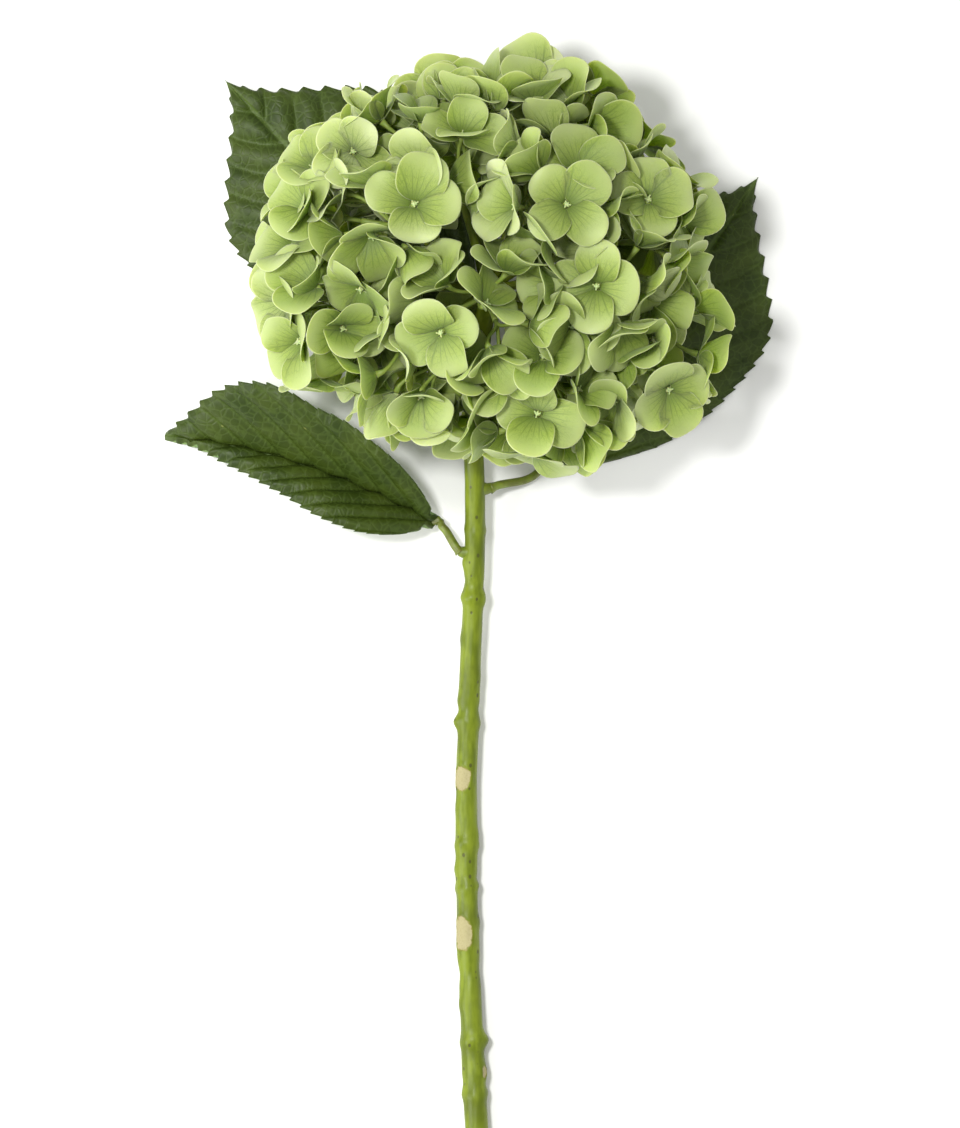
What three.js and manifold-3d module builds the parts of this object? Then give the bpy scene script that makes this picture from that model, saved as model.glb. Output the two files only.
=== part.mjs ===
// A cut mophead hydrangea lying on a flat surface: a green stem with growth rings, three toothed leaves
// and a round head of small clusters (cymes), each cyme holding three four-sepalled florets.
// Millimetres, +X right, +Y from the cut end towards the head, +Z up. While it is being built the zero is
// under the middle of the head; at the end the whole plant moves so that the zero is under its middle.

import * as THREE from "three";
import { mergeVertices } from "three/addons/utils/BufferGeometryUtils.js";
import Module from "manifold-3d";

const wasm = await Module();
wasm.setup();

// ---- Driving sizes -------------------------------------------------------------------------------

const CLEARANCE = 0.3; // free space kept between neighbouring pieces
const OVERLAP = 0.8; // how far joined pieces of one solid run into each other

// The head, an uneven ellipsoid of florets
const HEAD_WIDTH = 159;
const HEAD_LENGTH = 150;
const HEAD_CROWN = 57; // from the middle of the head up to its top
const HEAD_BELLY = 40; // from the middle of the head down to its underside
const HEAD_REST = 47; // height of the middle of the head above the surface
const LOWEST_FLORET = -47; // degrees below the horizon where the florets stop and the underside is open

// The lobes: direction seen from the middle of the head (heading from +X towards +Y, climb from the
// horizon, both in degrees) and how far the lobe stands out of the ellipsoid
const LOBES = [
  { heading: 155, climb: 55, reach: 0 },
  { heading: 50, climb: 60, reach: 0 },
  { heading: 260, climb: 72, reach: 0 },
  { heading: 345, climb: 50, reach: 0 },
  { heading: 235, climb: 45, reach: -3 },
  { heading: 110, climb: 40, reach: 0 },
  { heading: 295, climb: 35, reach: 2 },
  { heading: 195, climb: 24, reach: 3 },
  { heading: 152, climb: 18, reach: 1 },
  { heading: 68, climb: 22, reach: -1 },
  { heading: 18, climb: 22, reach: 0 },
  { heading: 330, climb: 16, reach: 6 },
  { heading: 42, climb: -20, reach: -4 },
  { heading: 112, climb: -20, reach: -2 },
  { heading: 186, climb: -28, reach: -2 },
  { heading: 242, climb: -18, reach: -12 },
  { heading: 318, climb: -20, reach: -2 },
];
const LOBE_SWELL = 12; // how much higher the middle of a lobe stands than its edge
const LOBE_FLARE = 0.8; // how much the florets at a lobe's edge turn away from its middle
const LOBE_SPREAD = 26; // degrees from a lobe's middle to its edge
const FLORET_RINGS = [
  { away: 8, turns: [0] },
  { away: 20, turns: [-30, 30] },
]; // a cyme's florets: degrees away from the lobe's middle, and turned from the cyme's own heading
const CYMES_PER_LOBE = 3;
const LOBE_TURN = 128; // degrees that the cymes of one lobe are turned from those of the lobe before

// Where no floret sits: the dark hollow beside the crown, the crease between two lobes in front of it,
// and the way in for the stem
const HOLLOW = { heading: 125, climb: 78, radius: 22 };
const CREASE = { heading: 318, climb: 47, radius: 15 };
const STEM_WAY = { heading: 266, climb: -42, radius: 24 };
const CROWD_STEPS = 60; // rounds in which the florets push each other apart
const CROWD_PITCH = 0.7596; // how far apart they are pushed, for a head whose skin they share evenly
const CROWD_PUSH = 0.25; // share of what two florets lack that each of them gives way in a round
const CROWD_PULL = 0.5; // share of a stray or of a hole's depth that a floret makes good in a round
const CYME_SPREAD = 12; // how far a floret drifts from the middle of its cyme before it is drawn back

// A floret: a shallow four-lobed cup that opens until it is short of its nearest neighbour
const FLORET_INSET = 6; // from the outline of the head to the middle of a floret
const RIM_CLIMB = 16; // degrees from a floret's middle up to its rim, and down to its heart
const HEART_THICKNESS = 1.4; // of the cup over its pedicel, thinning to the sepals' rims
const SEPALS = 4;
const NOTCH_DEPTH = 0.24; // share of the cup's radius between a sepal's tip and the notch beside it
const SHOULDER = 25; // degrees from a sepal's middle line to the corner of its rounded end
const TILT = 0.42; // how unevenly the florets face, as a share of their facing direction

// Branches of the head
const RAY_DEPTH = 0.5; // share of the way from the middle of the head to a lobe where its ray ends
const RAY_ROOT_RADIUS = 1.9;
const RAY_RADIUS = 1.3;
const RAY_END_RADIUS = 2.1;
const STALK_RADIUS = 0.8;
const STALK_OFFSET = 1.2; // from the middle of a ray's flat end to each stalk that stands on it
// Where a stalk may divide, as shares of the way from the ray to the florets, the preferred one first
const STALK_SHARES = [0.42, 0.34, 0.5, 0.26, 0.58];
const PEDICEL_RADIUS = 0.6;
const FLORET_CLEAR = 5.5; // how far a stalk or pedicel keeps from the middles of other florets
const RAY_STEPS = 4;
const RAY_SIDES = 6;
const STALK_STEPS = 2;
const STALK_SIDES = 4;

// The stem: the middle line from the cut end to the fork in the head
const STEM_LINE = [
  [-3, -356, 4.8],
  [-5, -305, 4.8],
  [-8, -245, 4.9],
  [-8, -180, 6],
  [-6, -115, 9.5],
  [-5, -63, 15],
  [-3, -32, 23],
  [-2, -12, 33],
];
const STEM_RADIUS_CUT = 4.4;
const STEM_RADIUS_TOP = 3.6;
const STEM_CUT_SLANT = 0.6; // how far the cut face runs back for each millimetre across
const STEM_RINGS = [
  { from_cut: 55, swell: 0.7 },
  { from_cut: 75, swell: 0.8 },
  { from_cut: 100, swell: -0.5 },
  { from_cut: 131, swell: 0.7 },
  { from_cut: 146, swell: 0.6 },
  { from_cut: 192, swell: 0.7 },
  { from_cut: 238, swell: 0.8 },
];
const RING_WIDTH = 3.2; // half the length of stem that a growth ring swells
const NUB_LENGTH = 2.6; // how far a leaf's nub stands out of the stem
const NUB_RADIUS = 2.1;
const STEM_STEPS = 60;
const STEM_SIDES = 8;

// The leaves
const LEAF_THICKNESS = 1.2;
const PETIOLE_RADIUS = 1.7;
const PETIOLE_TIP_RADIUS = 1.3;
const PETIOLE_STEPS = 7;
const SECTION_SIDES = 8; // corners of a leaf's section, along its petiole and its blade alike
const TEETH = 20; // along each side of a blade
const TOOTH_DEPTH = 1.5;
const TOOTH_LEAN = 1.5; // how far a tooth points towards the tip
const WIDEST = 1.36; // places the widest part of a blade: higher is nearer the tip
const BASE_FULLNESS = 0.5; // lower rounds the base of a blade
const TIP_POINT = 1.4; // higher draws the tip out
const LAST_ROW = 0.995; // the share of a blade's length where its last section closes

// Each leaf leaves the stem at a distance from the cut end, in the direction of leave. Its midrib runs
// from the base through the middle to the tip, and each half of its blade rises from flat by as many
// degrees as the pair says, at the tip and at the base.
const LEAVES = [
  {
    name: "leaf_lower_left",
    from_cut: 249,
    leave: [-0.72, 0.68, 0.1],
    base: [-19, -92, 8],
    middle: [-70, -70, 9],
    tip: [-119.5, -60, 2],
    width: 62,
    rise_left: [46, 50],
    rise_right: [38, 62],
  },
  {
    name: "leaf_back_left",
    from_cut: 294,
    leave: [-0.9, 0.3, -0.3],
    base: [-5, -19, 3.2],
    middle: [-52, 24, 4.2],
    tip: [-97.5, 71, 0.5],
    width: 84,
    rise_left: [-4, -4],
    rise_right: [-4, -4],
  },
  {
    name: "leaf_right",
    from_cut: 274,
    leave: [0.85, 0.45, -0.25],
    base: [18, -73, 3.2],
    middle: [61, -18, 4.2],
    tip: [99, 35.5, 0.5],
    width: 80,
    rise_left: [-4, -4],
    rise_right: [-4, -4],
  },
];

const STEM_COLOUR = "#8aa83a";
const LEAF_COLOUR = "#2f4d22";
const FLORET_COLOUR = "#b4d08a";

// ---- Small helpers -------------------------------------------------------------------------------

const UP = new THREE.Vector3(0, 0, 1);
const HEAD_MIDDLE = new THREE.Vector3(0, 0, HEAD_REST);
const vector = (numbers) => new THREE.Vector3(...numbers);
const radians = THREE.MathUtils.degToRad;
const mix = THREE.MathUtils.lerp;

// A repeatable unevenness between -1 and 1, different for every pair of whole numbers.
function uneven(index, kind) {
  const wave = Math.sin(index * 12.9898 + kind * 78.233) * 43758.5453;
  return 2 * (wave - Math.floor(wave)) - 1;
}

// The unit direction of a heading and a climb, both in degrees.
function direction(heading, climb) {
  return new THREE.Vector3().setFromSphericalCoords(1, radians(90 - climb), radians(heading + 90))
    .applyAxisAngle(new THREE.Vector3(1, 0, 0), Math.PI / 2);
}

// The mean of a list of points.
function meanOf(points) {
  return points.reduce((sum, point) => sum.add(point), new THREE.Vector3()).divideScalar(points.length);
}

// Two unit vectors square to an axis and to each other.
function acrossAxis(axis) {
  const helper = Math.abs(axis.z) < 0.9 ? UP : new THREE.Vector3(1, 0, 0);
  const first = new THREE.Vector3().crossVectors(helper, axis).normalize();
  return [first, new THREE.Vector3().crossVectors(axis, first)];
}

// The volume inside an indexed closed surface, negative where it is inside out.
function signedVolume(points, faces) {
  let total = 0;
  for (let i = 0; i < faces.length; i += 3) {
    const [a, b, c] = [points[faces[i]], points[faces[i + 1]], points[faces[i + 2]]];
    total += a.dot(new THREE.Vector3().crossVectors(b, c)) / 6;
  }
  return total;
}

// A closed geometry from points and faces, turned to face out.
function closedGeometry(points, faces) {
  if (signedVolume(points, faces) < 0) faces.reverse();
  const geometry = new THREE.BufferGeometry().setFromPoints(points);
  geometry.setIndex(faces);
  return geometry;
}

// A closed skin over rings that all have the same number of points, with a flat cap at each end.
function loft(rings) {
  const sides = rings[0].length;
  const points = rings.flat();
  const faces = [];
  for (let r = 0; r + 1 < rings.length; r += 1) {
    for (let s = 0; s < sides; s += 1) {
      const here = r * sides + s;
      const beside = r * sides + ((s + 1) % sides);
      faces.push(here, beside, here + sides);
      faces.push(beside, beside + sides, here + sides);
    }
  }
  const last = (rings.length - 1) * sides;
  for (let s = 1; s + 1 < sides; s += 1) {
    faces.push(0, s + 1, s);
    faces.push(last, last + s, last + s + 1);
  }
  return closedGeometry(points, faces);
}

// A round tube along a curve. radiusAt gives its radius at a share of its length, and slant tilts its
// first face.
function tube(curve, radiusAt, sides, steps, slant = 0) {
  const frames = curve.computeFrenetFrames(steps, false);
  const rings = [];
  for (let i = 0; i <= steps; i += 1) {
    const centre = curve.getPointAt(i / steps);
    const radius = radiusAt(i / steps);
    const ring = [];
    for (let s = 0; s < sides; s += 1) {
      const angle = (2 * Math.PI * s) / sides;
      const offset = frames.normals[i].clone().multiplyScalar(Math.cos(angle) * radius);
      offset.addScaledVector(frames.binormals[i], Math.sin(angle) * radius);
      if (i === 0) offset.addScaledVector(frames.tangents[i], slant * (offset.x + radius));
      ring.push(offset.add(centre));
    }
    rings.push(ring);
  }
  return loft(rings);
}

// A manifold-3d solid of a closed indexed geometry.
function solidOf(geometry) {
  return new wasm.Manifold(
    new wasm.Mesh({
      numProp: 3,
      vertProperties: geometry.attributes.position.array,
      triVerts: new Uint32Array(geometry.index.array),
    }),
  );
}

// One geometry from overlapping closed geometries.
function joined(geometries) {
  const made = geometries.map(solidOf).reduce((sum, next) => sum.add(next)).getMesh();
  const geometry = new THREE.BufferGeometry();
  geometry.setAttribute("position", new THREE.BufferAttribute(made.vertProperties, 3));
  geometry.setIndex(new THREE.BufferAttribute(made.triVerts, 1));
  return geometry;
}

// The shortest distance from a point to the faces of a geometry.
function distanceTo(geometry, point) {
  const position = geometry.attributes.position;
  const faces = geometry.index.array;
  const triangle = new THREE.Triangle();
  const nearest = new THREE.Vector3();
  let shortest = Infinity;
  for (let i = 0; i < faces.length; i += 3) {
    triangle.setFromAttributeAndIndices(position, faces[i], faces[i + 1], faces[i + 2]);
    triangle.closestPointToPoint(point, nearest);
    shortest = Math.min(shortest, nearest.distanceToSquared(point));
  }
  return Math.sqrt(shortest);
}

// ---- Where the florets sit -----------------------------------------------------------------------

// The semi-axes of the ellipsoid through the middles of the florets, on the side a direction points to.
function headAxes(towards) {
  const height = towards.z > 0 ? HEAD_CROWN : HEAD_BELLY;
  return new THREE.Vector3(HEAD_WIDTH / 2, HEAD_LENGTH / 2, height).addScalar(-FLORET_INSET);
}

// The point of the head in a direction, standing out of the ellipsoid by reach.
function onHead(towards, reach) {
  const axes = headAxes(towards);
  const point = towards.clone().multiply(axes);
  return point.setLength(point.length() + reach).add(HEAD_MIDDLE);
}

// The florets: each knows its lobe, its cyme and its direction from the middle of the head.
function scatterFlorets() {
  const florets = [];
  LOBES.forEach((lobe, lobeIndex) => {
    const axis = direction(lobe.heading, lobe.climb);
    const [first] = acrossAxis(axis);
    for (let c = 0; c < CYMES_PER_LOBE; c += 1) {
      const cymeTurn = (360 * c) / CYMES_PER_LOBE + LOBE_TURN * lobeIndex;
      for (const { away, turns } of FLORET_RINGS) {
        for (const turn of turns) {
          const hinge = first.clone().applyAxisAngle(axis, radians(cymeTurn + turn));
          const towards = axis.clone().applyAxisAngle(hinge, radians(away));
          florets.push({ lobe: lobeIndex, cyme: c, axis, towards, reach: lobe.reach });
        }
      }
    }
  });
  return florets;
}

// Where a floret's middle is: the head's surface, lifted by half the swell in the middle of the
// floret's lobe and lowered by as much at its edge.
function floretPoint({ towards, axis, reach }) {
  const away = THREE.MathUtils.radToDeg(towards.angleTo(axis)) / LOBE_SPREAD;
  return onHead(towards, reach + LOBE_SWELL * (0.5 - away * away));
}

// Moves the florets along the head until they are evenly crowded.
function crowd(florets) {
  const skin = Math.PI * (HEAD_WIDTH + HEAD_LENGTH) * (HEAD_CROWN + HEAD_BELLY);
  const pitch = CROWD_PITCH * Math.sqrt(skin / florets.length);
  const holes = [HOLLOW, CREASE, STEM_WAY].map(({ heading, climb, radius }) => ({
    point: onHead(direction(heading, climb), 0),
    radius,
  }));
  for (let step = 0; step < CROWD_STEPS; step += 1) {
    const points = florets.map(floretPoint);
    const pushes = points.map(() => new THREE.Vector3());
    for (let i = 0; i < points.length; i += 1) {
      for (let j = i + 1; j < points.length; j += 1) {
        const between = points[i].clone().sub(points[j]);
        const lack = pitch - between.length();
        if (lack <= 0) continue;
        between.setLength(CROWD_PUSH * lack);
        pushes[i].add(between);
        pushes[j].sub(between);
      }
      for (const hole of holes) {
        const between = points[i].clone().sub(hole.point);
        const lack = hole.radius - between.length();
        if (lack > 0) pushes[i].add(between.setLength(CROWD_PULL * lack));
      }
    }
    florets.forEach(({ lobe, cyme }, i) => {
      const own = points.filter((_, j) => florets[j].lobe === lobe && florets[j].cyme === cyme);
      const back = meanOf(own).sub(points[i]);
      const stray = back.length() - CYME_SPREAD;
      if (stray > 0) pushes[i].add(back.setLength(CROWD_PULL * stray));
    });
    florets.forEach((floret, i) => {
      const moved = points[i].clone().add(pushes[i]).sub(HEAD_MIDDLE);
      moved.divide(headAxes(floret.towards)).normalize();
      moved.z = Math.max(moved.z, Math.sin(radians(LOWEST_FLORET)));
      floret.towards = moved.normalize();
    });
  }
}

// The way a floret faces: out of the head, turned away from the middle of its lobe, a little unevenly.
function facing({ towards, axis }, index) {
  const outward = towards.clone().divide(headAxes(towards)).normalize();
  const aside = towards.clone().sub(axis).divideScalar(2 * Math.sin(radians(LOBE_SPREAD / 2)));
  const turned = outward.addScaledVector(aside, LOBE_FLARE);
  const wobble = new THREE.Vector3(uneven(index, 1), uneven(index, 2), uneven(index, 3));
  return turned.addScaledVector(wobble, TILT).normalize();
}

// ---- The stem and the branches of the head -------------------------------------------------------

const stemCurve = new THREE.CatmullRomCurve3(STEM_LINE.map(vector), false, "centripetal");
const stemLength = stemCurve.getLength();
const fork = stemCurve.getPointAt(1);
const forkHeading = stemCurve.getTangentAt(1);

// The stem's radius at a distance from the cut end, growth rings included.
function stemRadius(fromCut) {
  const plain = mix(STEM_RADIUS_CUT, STEM_RADIUS_TOP, fromCut / stemLength);
  const swells = STEM_RINGS.map((ring) => {
    const away = (fromCut - ring.from_cut) / RING_WIDTH;
    return ring.swell * Math.exp(-away * away);
  });
  return swells.reduce((sum, swell) => sum + swell, plain);
}

// Where a leaf's nub ends and which way it points.
function nubEnd(leaf) {
  const centre = stemCurve.getPointAt(leaf.from_cut / stemLength);
  const heading = vector(leaf.leave).normalize();
  const out = stemRadius(leaf.from_cut) + NUB_LENGTH;
  return { centre, heading, end: centre.clone().addScaledVector(heading, out) };
}

function nub(leaf) {
  const { centre, end } = nubEnd(leaf);
  return tube(new THREE.LineCurve3(centre, end), () => NUB_RADIUS, STEM_SIDES, 1);
}

// Where a lobe's ray ends, and the way it points there.
function rayEnd(lobe) {
  const axis = direction(lobe.heading, lobe.climb);
  const outside = onHead(axis, lobe.reach);
  const end = HEAD_MIDDLE.clone().lerp(outside, RAY_DEPTH);
  return { end, heading: outside.sub(fork).normalize() };
}

function ray(lobe) {
  const { end, heading } = rayEnd(lobe);
  const reach = end.distanceTo(fork) / 3;
  const curve = new THREE.CubicBezierCurve3(
    fork.clone().addScaledVector(forkHeading, -OVERLAP),
    fork.clone().addScaledVector(forkHeading, reach / 2),
    end.clone().addScaledVector(heading, -reach),
    end,
  );
  const lastStep = 1 - 0.5 / RAY_STEPS;
  const radiusAt = (share) => {
    if (share > lastStep) return RAY_END_RADIUS;
    return mix(RAY_ROOT_RADIUS, RAY_RADIUS, share);
  };
  return tube(curve, radiusAt, RAY_SIDES, RAY_STEPS);
}

function stem() {
  const radiusAt = (share) => stemRadius(share * stemLength);
  const main = tube(stemCurve, radiusAt, STEM_SIDES, STEM_STEPS, STEM_CUT_SLANT);
  const ball = new THREE.IcosahedronGeometry(STEM_RADIUS_TOP + OVERLAP, 1);
  ball.deleteAttribute("normal");
  ball.deleteAttribute("uv");
  const knot = mergeVertices(ball).translate(fork.x, fork.y, fork.z);
  return joined([main, knot, ...LEAVES.map(nub), ...LOBES.map(ray)]);
}

// ---- The leaves ----------------------------------------------------------------------------------

// A blade's half-width as a share of its widest, at a share of its length from the base.
function bladeShare(share) {
  const wave = Math.sin(Math.PI * share ** WIDEST);
  return wave ** (share ** WIDEST < 0.5 ? BASE_FULLNESS : TIP_POINT);
}

// The eight points of a leaf's section: over the top from the left edge to the right, and back below.
function bladeRing(centre, along, halfWidth, lean, rises) {
  const across = new THREE.Vector3().crossVectors(UP, along).normalize();
  const up = new THREE.Vector3().crossVectors(along, across);
  const sides = [across, across.clone().negate()].map((side, index) => {
    const rise = radians(rises[index]);
    const out = side.clone().multiplyScalar(Math.cos(rise)).addScaledVector(up, Math.sin(rise));
    const normal = up.clone().multiplyScalar(Math.cos(rise)).addScaledVector(side, -Math.sin(rise));
    return { out, normal };
  });
  const half = LEAF_THICKNESS / 2;
  const place = (out, share, normal, lift) =>
    centre.clone().addScaledVector(out, halfWidth * share).addScaledVector(normal, lift);
  const edge = (side) => place(side.out, 1, along, lean);
  const [left, right] = sides;
  return [
    edge(left),
    place(left.out, 0.5, left.normal, half),
    place(up, 0, up, half),
    place(right.out, 0.5, right.normal, half),
    edge(right),
    place(right.out, 0.5, right.normal, -half),
    place(up, 0, up, -half),
    place(left.out, 0.5, left.normal, -half),
  ];
}

function petioleRing(centre, along, radius) {
  const across = new THREE.Vector3().crossVectors(UP, along).normalize();
  const up = new THREE.Vector3().crossVectors(along, across);
  return Array.from({ length: SECTION_SIDES }, (_, index) => {
    const angle = (2 * Math.PI * index) / SECTION_SIDES;
    const side = across.clone().multiplyScalar(Math.cos(angle) * radius);
    return side.addScaledVector(up, Math.sin(angle) * radius).add(centre);
  });
}

function leaf(shape) {
  const { heading, end } = nubEnd(shape);
  const start = end.clone().addScaledVector(heading, CLEARANCE);
  const base = vector(shape.base);
  const tip = vector(shape.tip);
  const pull = vector(shape.middle).multiplyScalar(2).sub(meanOf([base, tip]));
  const bladeCurve = new THREE.QuadraticBezierCurve3(base, pull, tip);
  const reach = start.distanceTo(base) / 3;
  const petiole = new THREE.CubicBezierCurve3(
    start,
    start.clone().addScaledVector(heading, reach),
    base.clone().addScaledVector(bladeCurve.getTangentAt(0), -reach),
    base,
  );
  const rings = [];
  for (let i = 0; i < PETIOLE_STEPS; i += 1) {
    const share = i / PETIOLE_STEPS;
    const radius = mix(PETIOLE_RADIUS, PETIOLE_TIP_RADIUS, share);
    rings.push(petioleRing(petiole.getPointAt(share), petiole.getTangentAt(share), radius));
  }
  const rows = TEETH * 2;
  for (let i = 0; i <= rows; i += 1) {
    const share = Math.min(i / rows, LAST_ROW);
    const isNotch = i % 2 === 0;
    const full = (shape.width / 2) * bladeShare(share);
    const halfWidth = Math.max(full - (isNotch ? TOOTH_DEPTH : 0), PETIOLE_TIP_RADIUS);
    const lean = isNotch || i === rows ? 0 : TOOTH_LEAN;
    const rises = [shape.rise_left, shape.rise_right].map(([tip, root]) => mix(root, tip, share));
    const along = bladeCurve.getTangentAt(share);
    rings.push(bladeRing(bladeCurve.getPointAt(share), along, halfWidth, lean, rises));
  }
  return loft(rings);
}

// ---- The cymes -----------------------------------------------------------------------------------

// Where a cyme's stalk starts on its lobe's ray, and where it divides, at a share of the way.
function stalkLine(cyme, share) {
  const { end, heading } = rayEnd(LOBES[cyme.lobe]);
  const [first] = acrossAxis(heading);
  const turn = radians((360 * cyme.cyme) / CYMES_PER_LOBE) + cyme.phase;
  const start = end.clone().addScaledVector(heading, CLEARANCE);
  start.addScaledVector(first.applyAxisAngle(heading, turn), STALK_OFFSET);
  const split = start.clone().lerp(meanOf(cyme.florets.map((floret) => floret.point)), share);
  const bend = start.clone().addScaledVector(heading, start.distanceTo(split) / 2);
  return { start, bend, split };
}

// The stalk of a cyme with the small knot from which its pedicels leave.
function stalk({ start, bend, split }) {
  const curve = new THREE.QuadraticBezierCurve3(start, bend, split);
  const stick = tube(curve, () => STALK_RADIUS, STALK_SIDES, STALK_STEPS);
  const knot = new THREE.OctahedronGeometry(STALK_RADIUS + OVERLAP);
  knot.deleteAttribute("normal");
  knot.deleteAttribute("uv");
  return [stick, mergeVertices(knot).translate(split.x, split.y, split.z)];
}

// A floret: a pedicel from where its cyme divides, opening into a cup whose rim is four rounded sepals.
// Each of the pedicel's four corners carries one sepal's underside, and the heart closes the inside.
function floretBody(floret, split) {
  const radius = floret.room * Math.cos(radians(RIM_CLIMB));
  const rise = floret.room * Math.sin(radians(RIM_CLIMB));
  const [first, second] = acrossAxis(floret.facing);
  const around = (centre, angle, reach) =>
    centre
      .clone()
      .addScaledVector(first, Math.cos(angle) * reach)
      .addScaledVector(second, Math.sin(angle) * reach);
  const top = floret.point.clone().addScaledVector(floret.facing, rise);
  const heart = floret.point.clone().addScaledVector(floret.facing, -rise);
  const foot = heart.clone().addScaledVector(floret.facing, -HEART_THICKNESS);
  const points = [heart];
  for (let s = 0; s < SEPALS; s += 1) {
    const angle = radians((360 * s) / SEPALS) + floret.roll;
    const notch = angle - radians(180 / SEPALS);
    points.push(
      around(split, angle, PEDICEL_RADIUS),
      around(foot, angle, PEDICEL_RADIUS),
      around(top, notch, radius * (1 - NOTCH_DEPTH)),
      around(top, angle - radians(SHOULDER), radius),
      around(top, angle + radians(SHOULDER), radius),
    );
  }
  const pointsPerSepal = (points.length - 1) / SEPALS;
  const sepal = (s) => [1, 2, 3, 4, 5].map((place) => place + pointsPerSepal * (s % SEPALS));
  const faces = [];
  for (let s = 0; s < SEPALS; s += 1) {
    const [root, corner, notch, left, right] = sepal(s);
    const [nextRoot, nextCorner, nextNotch] = sepal(s + 1);
    faces.push(0, notch, left, 0, left, right, 0, right, nextNotch);
    faces.push(corner, left, notch, corner, right, left, corner, nextNotch, right);
    faces.push(corner, nextCorner, nextNotch);
    faces.push(root, nextRoot, nextCorner, root, nextCorner, corner);
    if (s > 0 && s + 1 < SEPALS) faces.push(sepal(0)[0], nextRoot, root);
  }
  return closedGeometry(points, faces);
}

// All the cymes of the head, each with its florets and its finished geometry.
function cymes(others) {
  const florets = scatterFlorets();
  crowd(florets);
  florets.forEach((floret, index) => {
    floret.point = floretPoint(floret);
    floret.facing = facing(floret, index);
    floret.roll = uneven(index, 4) * Math.PI;
  });
  const made = [];
  LOBES.forEach((lobe, lobeIndex) => {
    for (let c = 0; c < CYMES_PER_LOBE; c += 1) {
      const own = florets.filter((floret) => floret.lobe === lobeIndex && floret.cyme === c);
      made.push({ lobe: lobeIndex, cyme: c, florets: own });
    }
  });
  made.forEach((cyme, index) => {
    cyme.phase = stalkPhase(made.filter((other) => other.lobe === cyme.lobe));
    divideStalk(cyme, made.slice(0, index).filter((other) => other.lobe !== cyme.lobe), florets);
  });
  return made.map((cyme) => {
    const foreign = made.filter((other) => other !== cyme).flatMap((other) => other.lines);
    cyme.florets.forEach((floret) => {
      floret.room = roomOf(floret, florets, foreign, others);
    });
    const bodies = cyme.florets.map((floret) => floretBody(floret, cyme.line.split));
    return { ...cyme, geometry: joined([...stalk(cyme.line), ...bodies]) };
  });
}

// Divides a cyme's stalk where its branches pass clear of those of the other lobes and of all other
// florets, as near to the preferred share as they let it.
function divideStalk(cyme, others, florets) {
  const foreign = others.flatMap((other) => other.lines);
  const strangers = florets.filter((floret) => !cyme.florets.includes(floret));
  const nearest = new THREE.Vector3();
  let best = -1;
  for (const share of STALK_SHARES) {
    const line = stalkLine(cyme, share);
    const lines = [new THREE.Line3(line.start, line.split)];
    cyme.florets.forEach((floret) => lines.push(new THREE.Line3(line.split, floret.point)));
    const fromLines = lines.flatMap((own) => foreign.map((other) => Math.sqrt(own.distanceSqToLine3(other))));
    const fromFlorets = lines.flatMap((own) =>
      strangers.map(({ point }) => own.closestPointToPoint(point, true, nearest).distanceTo(point)),
    );
    const lineShare = Math.min(...fromLines) / (2 * PEDICEL_RADIUS + CLEARANCE);
    const floretShare = Math.min(...fromFlorets) / FLORET_CLEAR;
    const clear = Math.min(1, lineShare, floretShare);
    if (clear <= best) continue;
    best = clear;
    cyme.line = line;
    cyme.lines = lines;
  }
}

// How far a floret can open all round: half way to the other florets, and clear of every branch, leaf
// and stem.
function roomOf(floret, florets, branches, others) {
  const nearest = new THREE.Vector3();
  const apart = florets
    .filter((other) => other !== floret)
    .map((other) => other.point.distanceTo(floret.point) / 2);
  const fromBranches = branches.map(
    (line) => line.closestPointToPoint(floret.point, true, nearest).distanceTo(floret.point) - STALK_RADIUS,
  );
  const fromOthers = others.map((geometry) => distanceTo(geometry, floret.point));
  return Math.min(...apart, ...fromBranches, ...fromOthers) - CLEARANCE / 2;
}

// The turn about a ray's end that brings each stalk of the lobe under its own florets.
function stalkPhase(group) {
  const { end, heading } = rayEnd(LOBES[group[0].lobe]);
  const [first, second] = acrossAxis(heading);
  let x = 0;
  let y = 0;
  group.forEach((cyme) => {
    cyme.florets.forEach((floret) => {
      const out = floret.point.clone().sub(end);
      const turn = radians((360 * cyme.cyme) / CYMES_PER_LOBE);
      const angle = Math.atan2(out.dot(second), out.dot(first)) - turn;
      x += Math.cos(angle);
      y += Math.sin(angle);
    });
  });
  return Math.atan2(y, x);
}

// ---- The plant -----------------------------------------------------------------------------------

const plant = new THREE.Group();

function addPiece(name, geometry, colour, roughness) {
  const material = new THREE.MeshStandardMaterial({ color: colour, roughness, metalness: 0 });
  const mesh = new THREE.Mesh(geometry, material);
  mesh.name = name;
  plant.add(mesh);
}

const stemGeometry = stem();
addPiece("stem", stemGeometry, STEM_COLOUR, 0.4);
const leafGeometries = LEAVES.map(leaf);
LEAVES.forEach((shape, index) => addPiece(shape.name, leafGeometries[index], LEAF_COLOUR, 0.45));
for (const cyme of cymes([stemGeometry, ...leafGeometries])) {
  const lobeNumber = String(cyme.lobe + 1).padStart(2, "0");
  addPiece(`cyme_${lobeNumber}_${"abc"[cyme.cyme]}`, cyme.geometry, FLORET_COLOUR, 0.6);
}

const box = new THREE.Box3().setFromObject(plant);
const middle = box.getCenter(new THREE.Vector3());
plant.position.set(-middle.x, -middle.y, -box.min.z);

export default plant;
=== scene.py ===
"""A cut mophead hydrangea lying on a pale floor.

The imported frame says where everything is: the stem with its rays, three leaves, and small clusters
(cymes) of three florets. Each cyme, each leaf and the stem is made here as a finished piece in its place.
Lengths are metres and angles radians, unless a name says otherwise.
"""

import math

import bpy
import numpy as np
from bpy.props import FloatProperty, FloatVectorProperty, IntProperty, PointerProperty
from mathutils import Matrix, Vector
from mathutils.kdtree import KDTree


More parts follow.
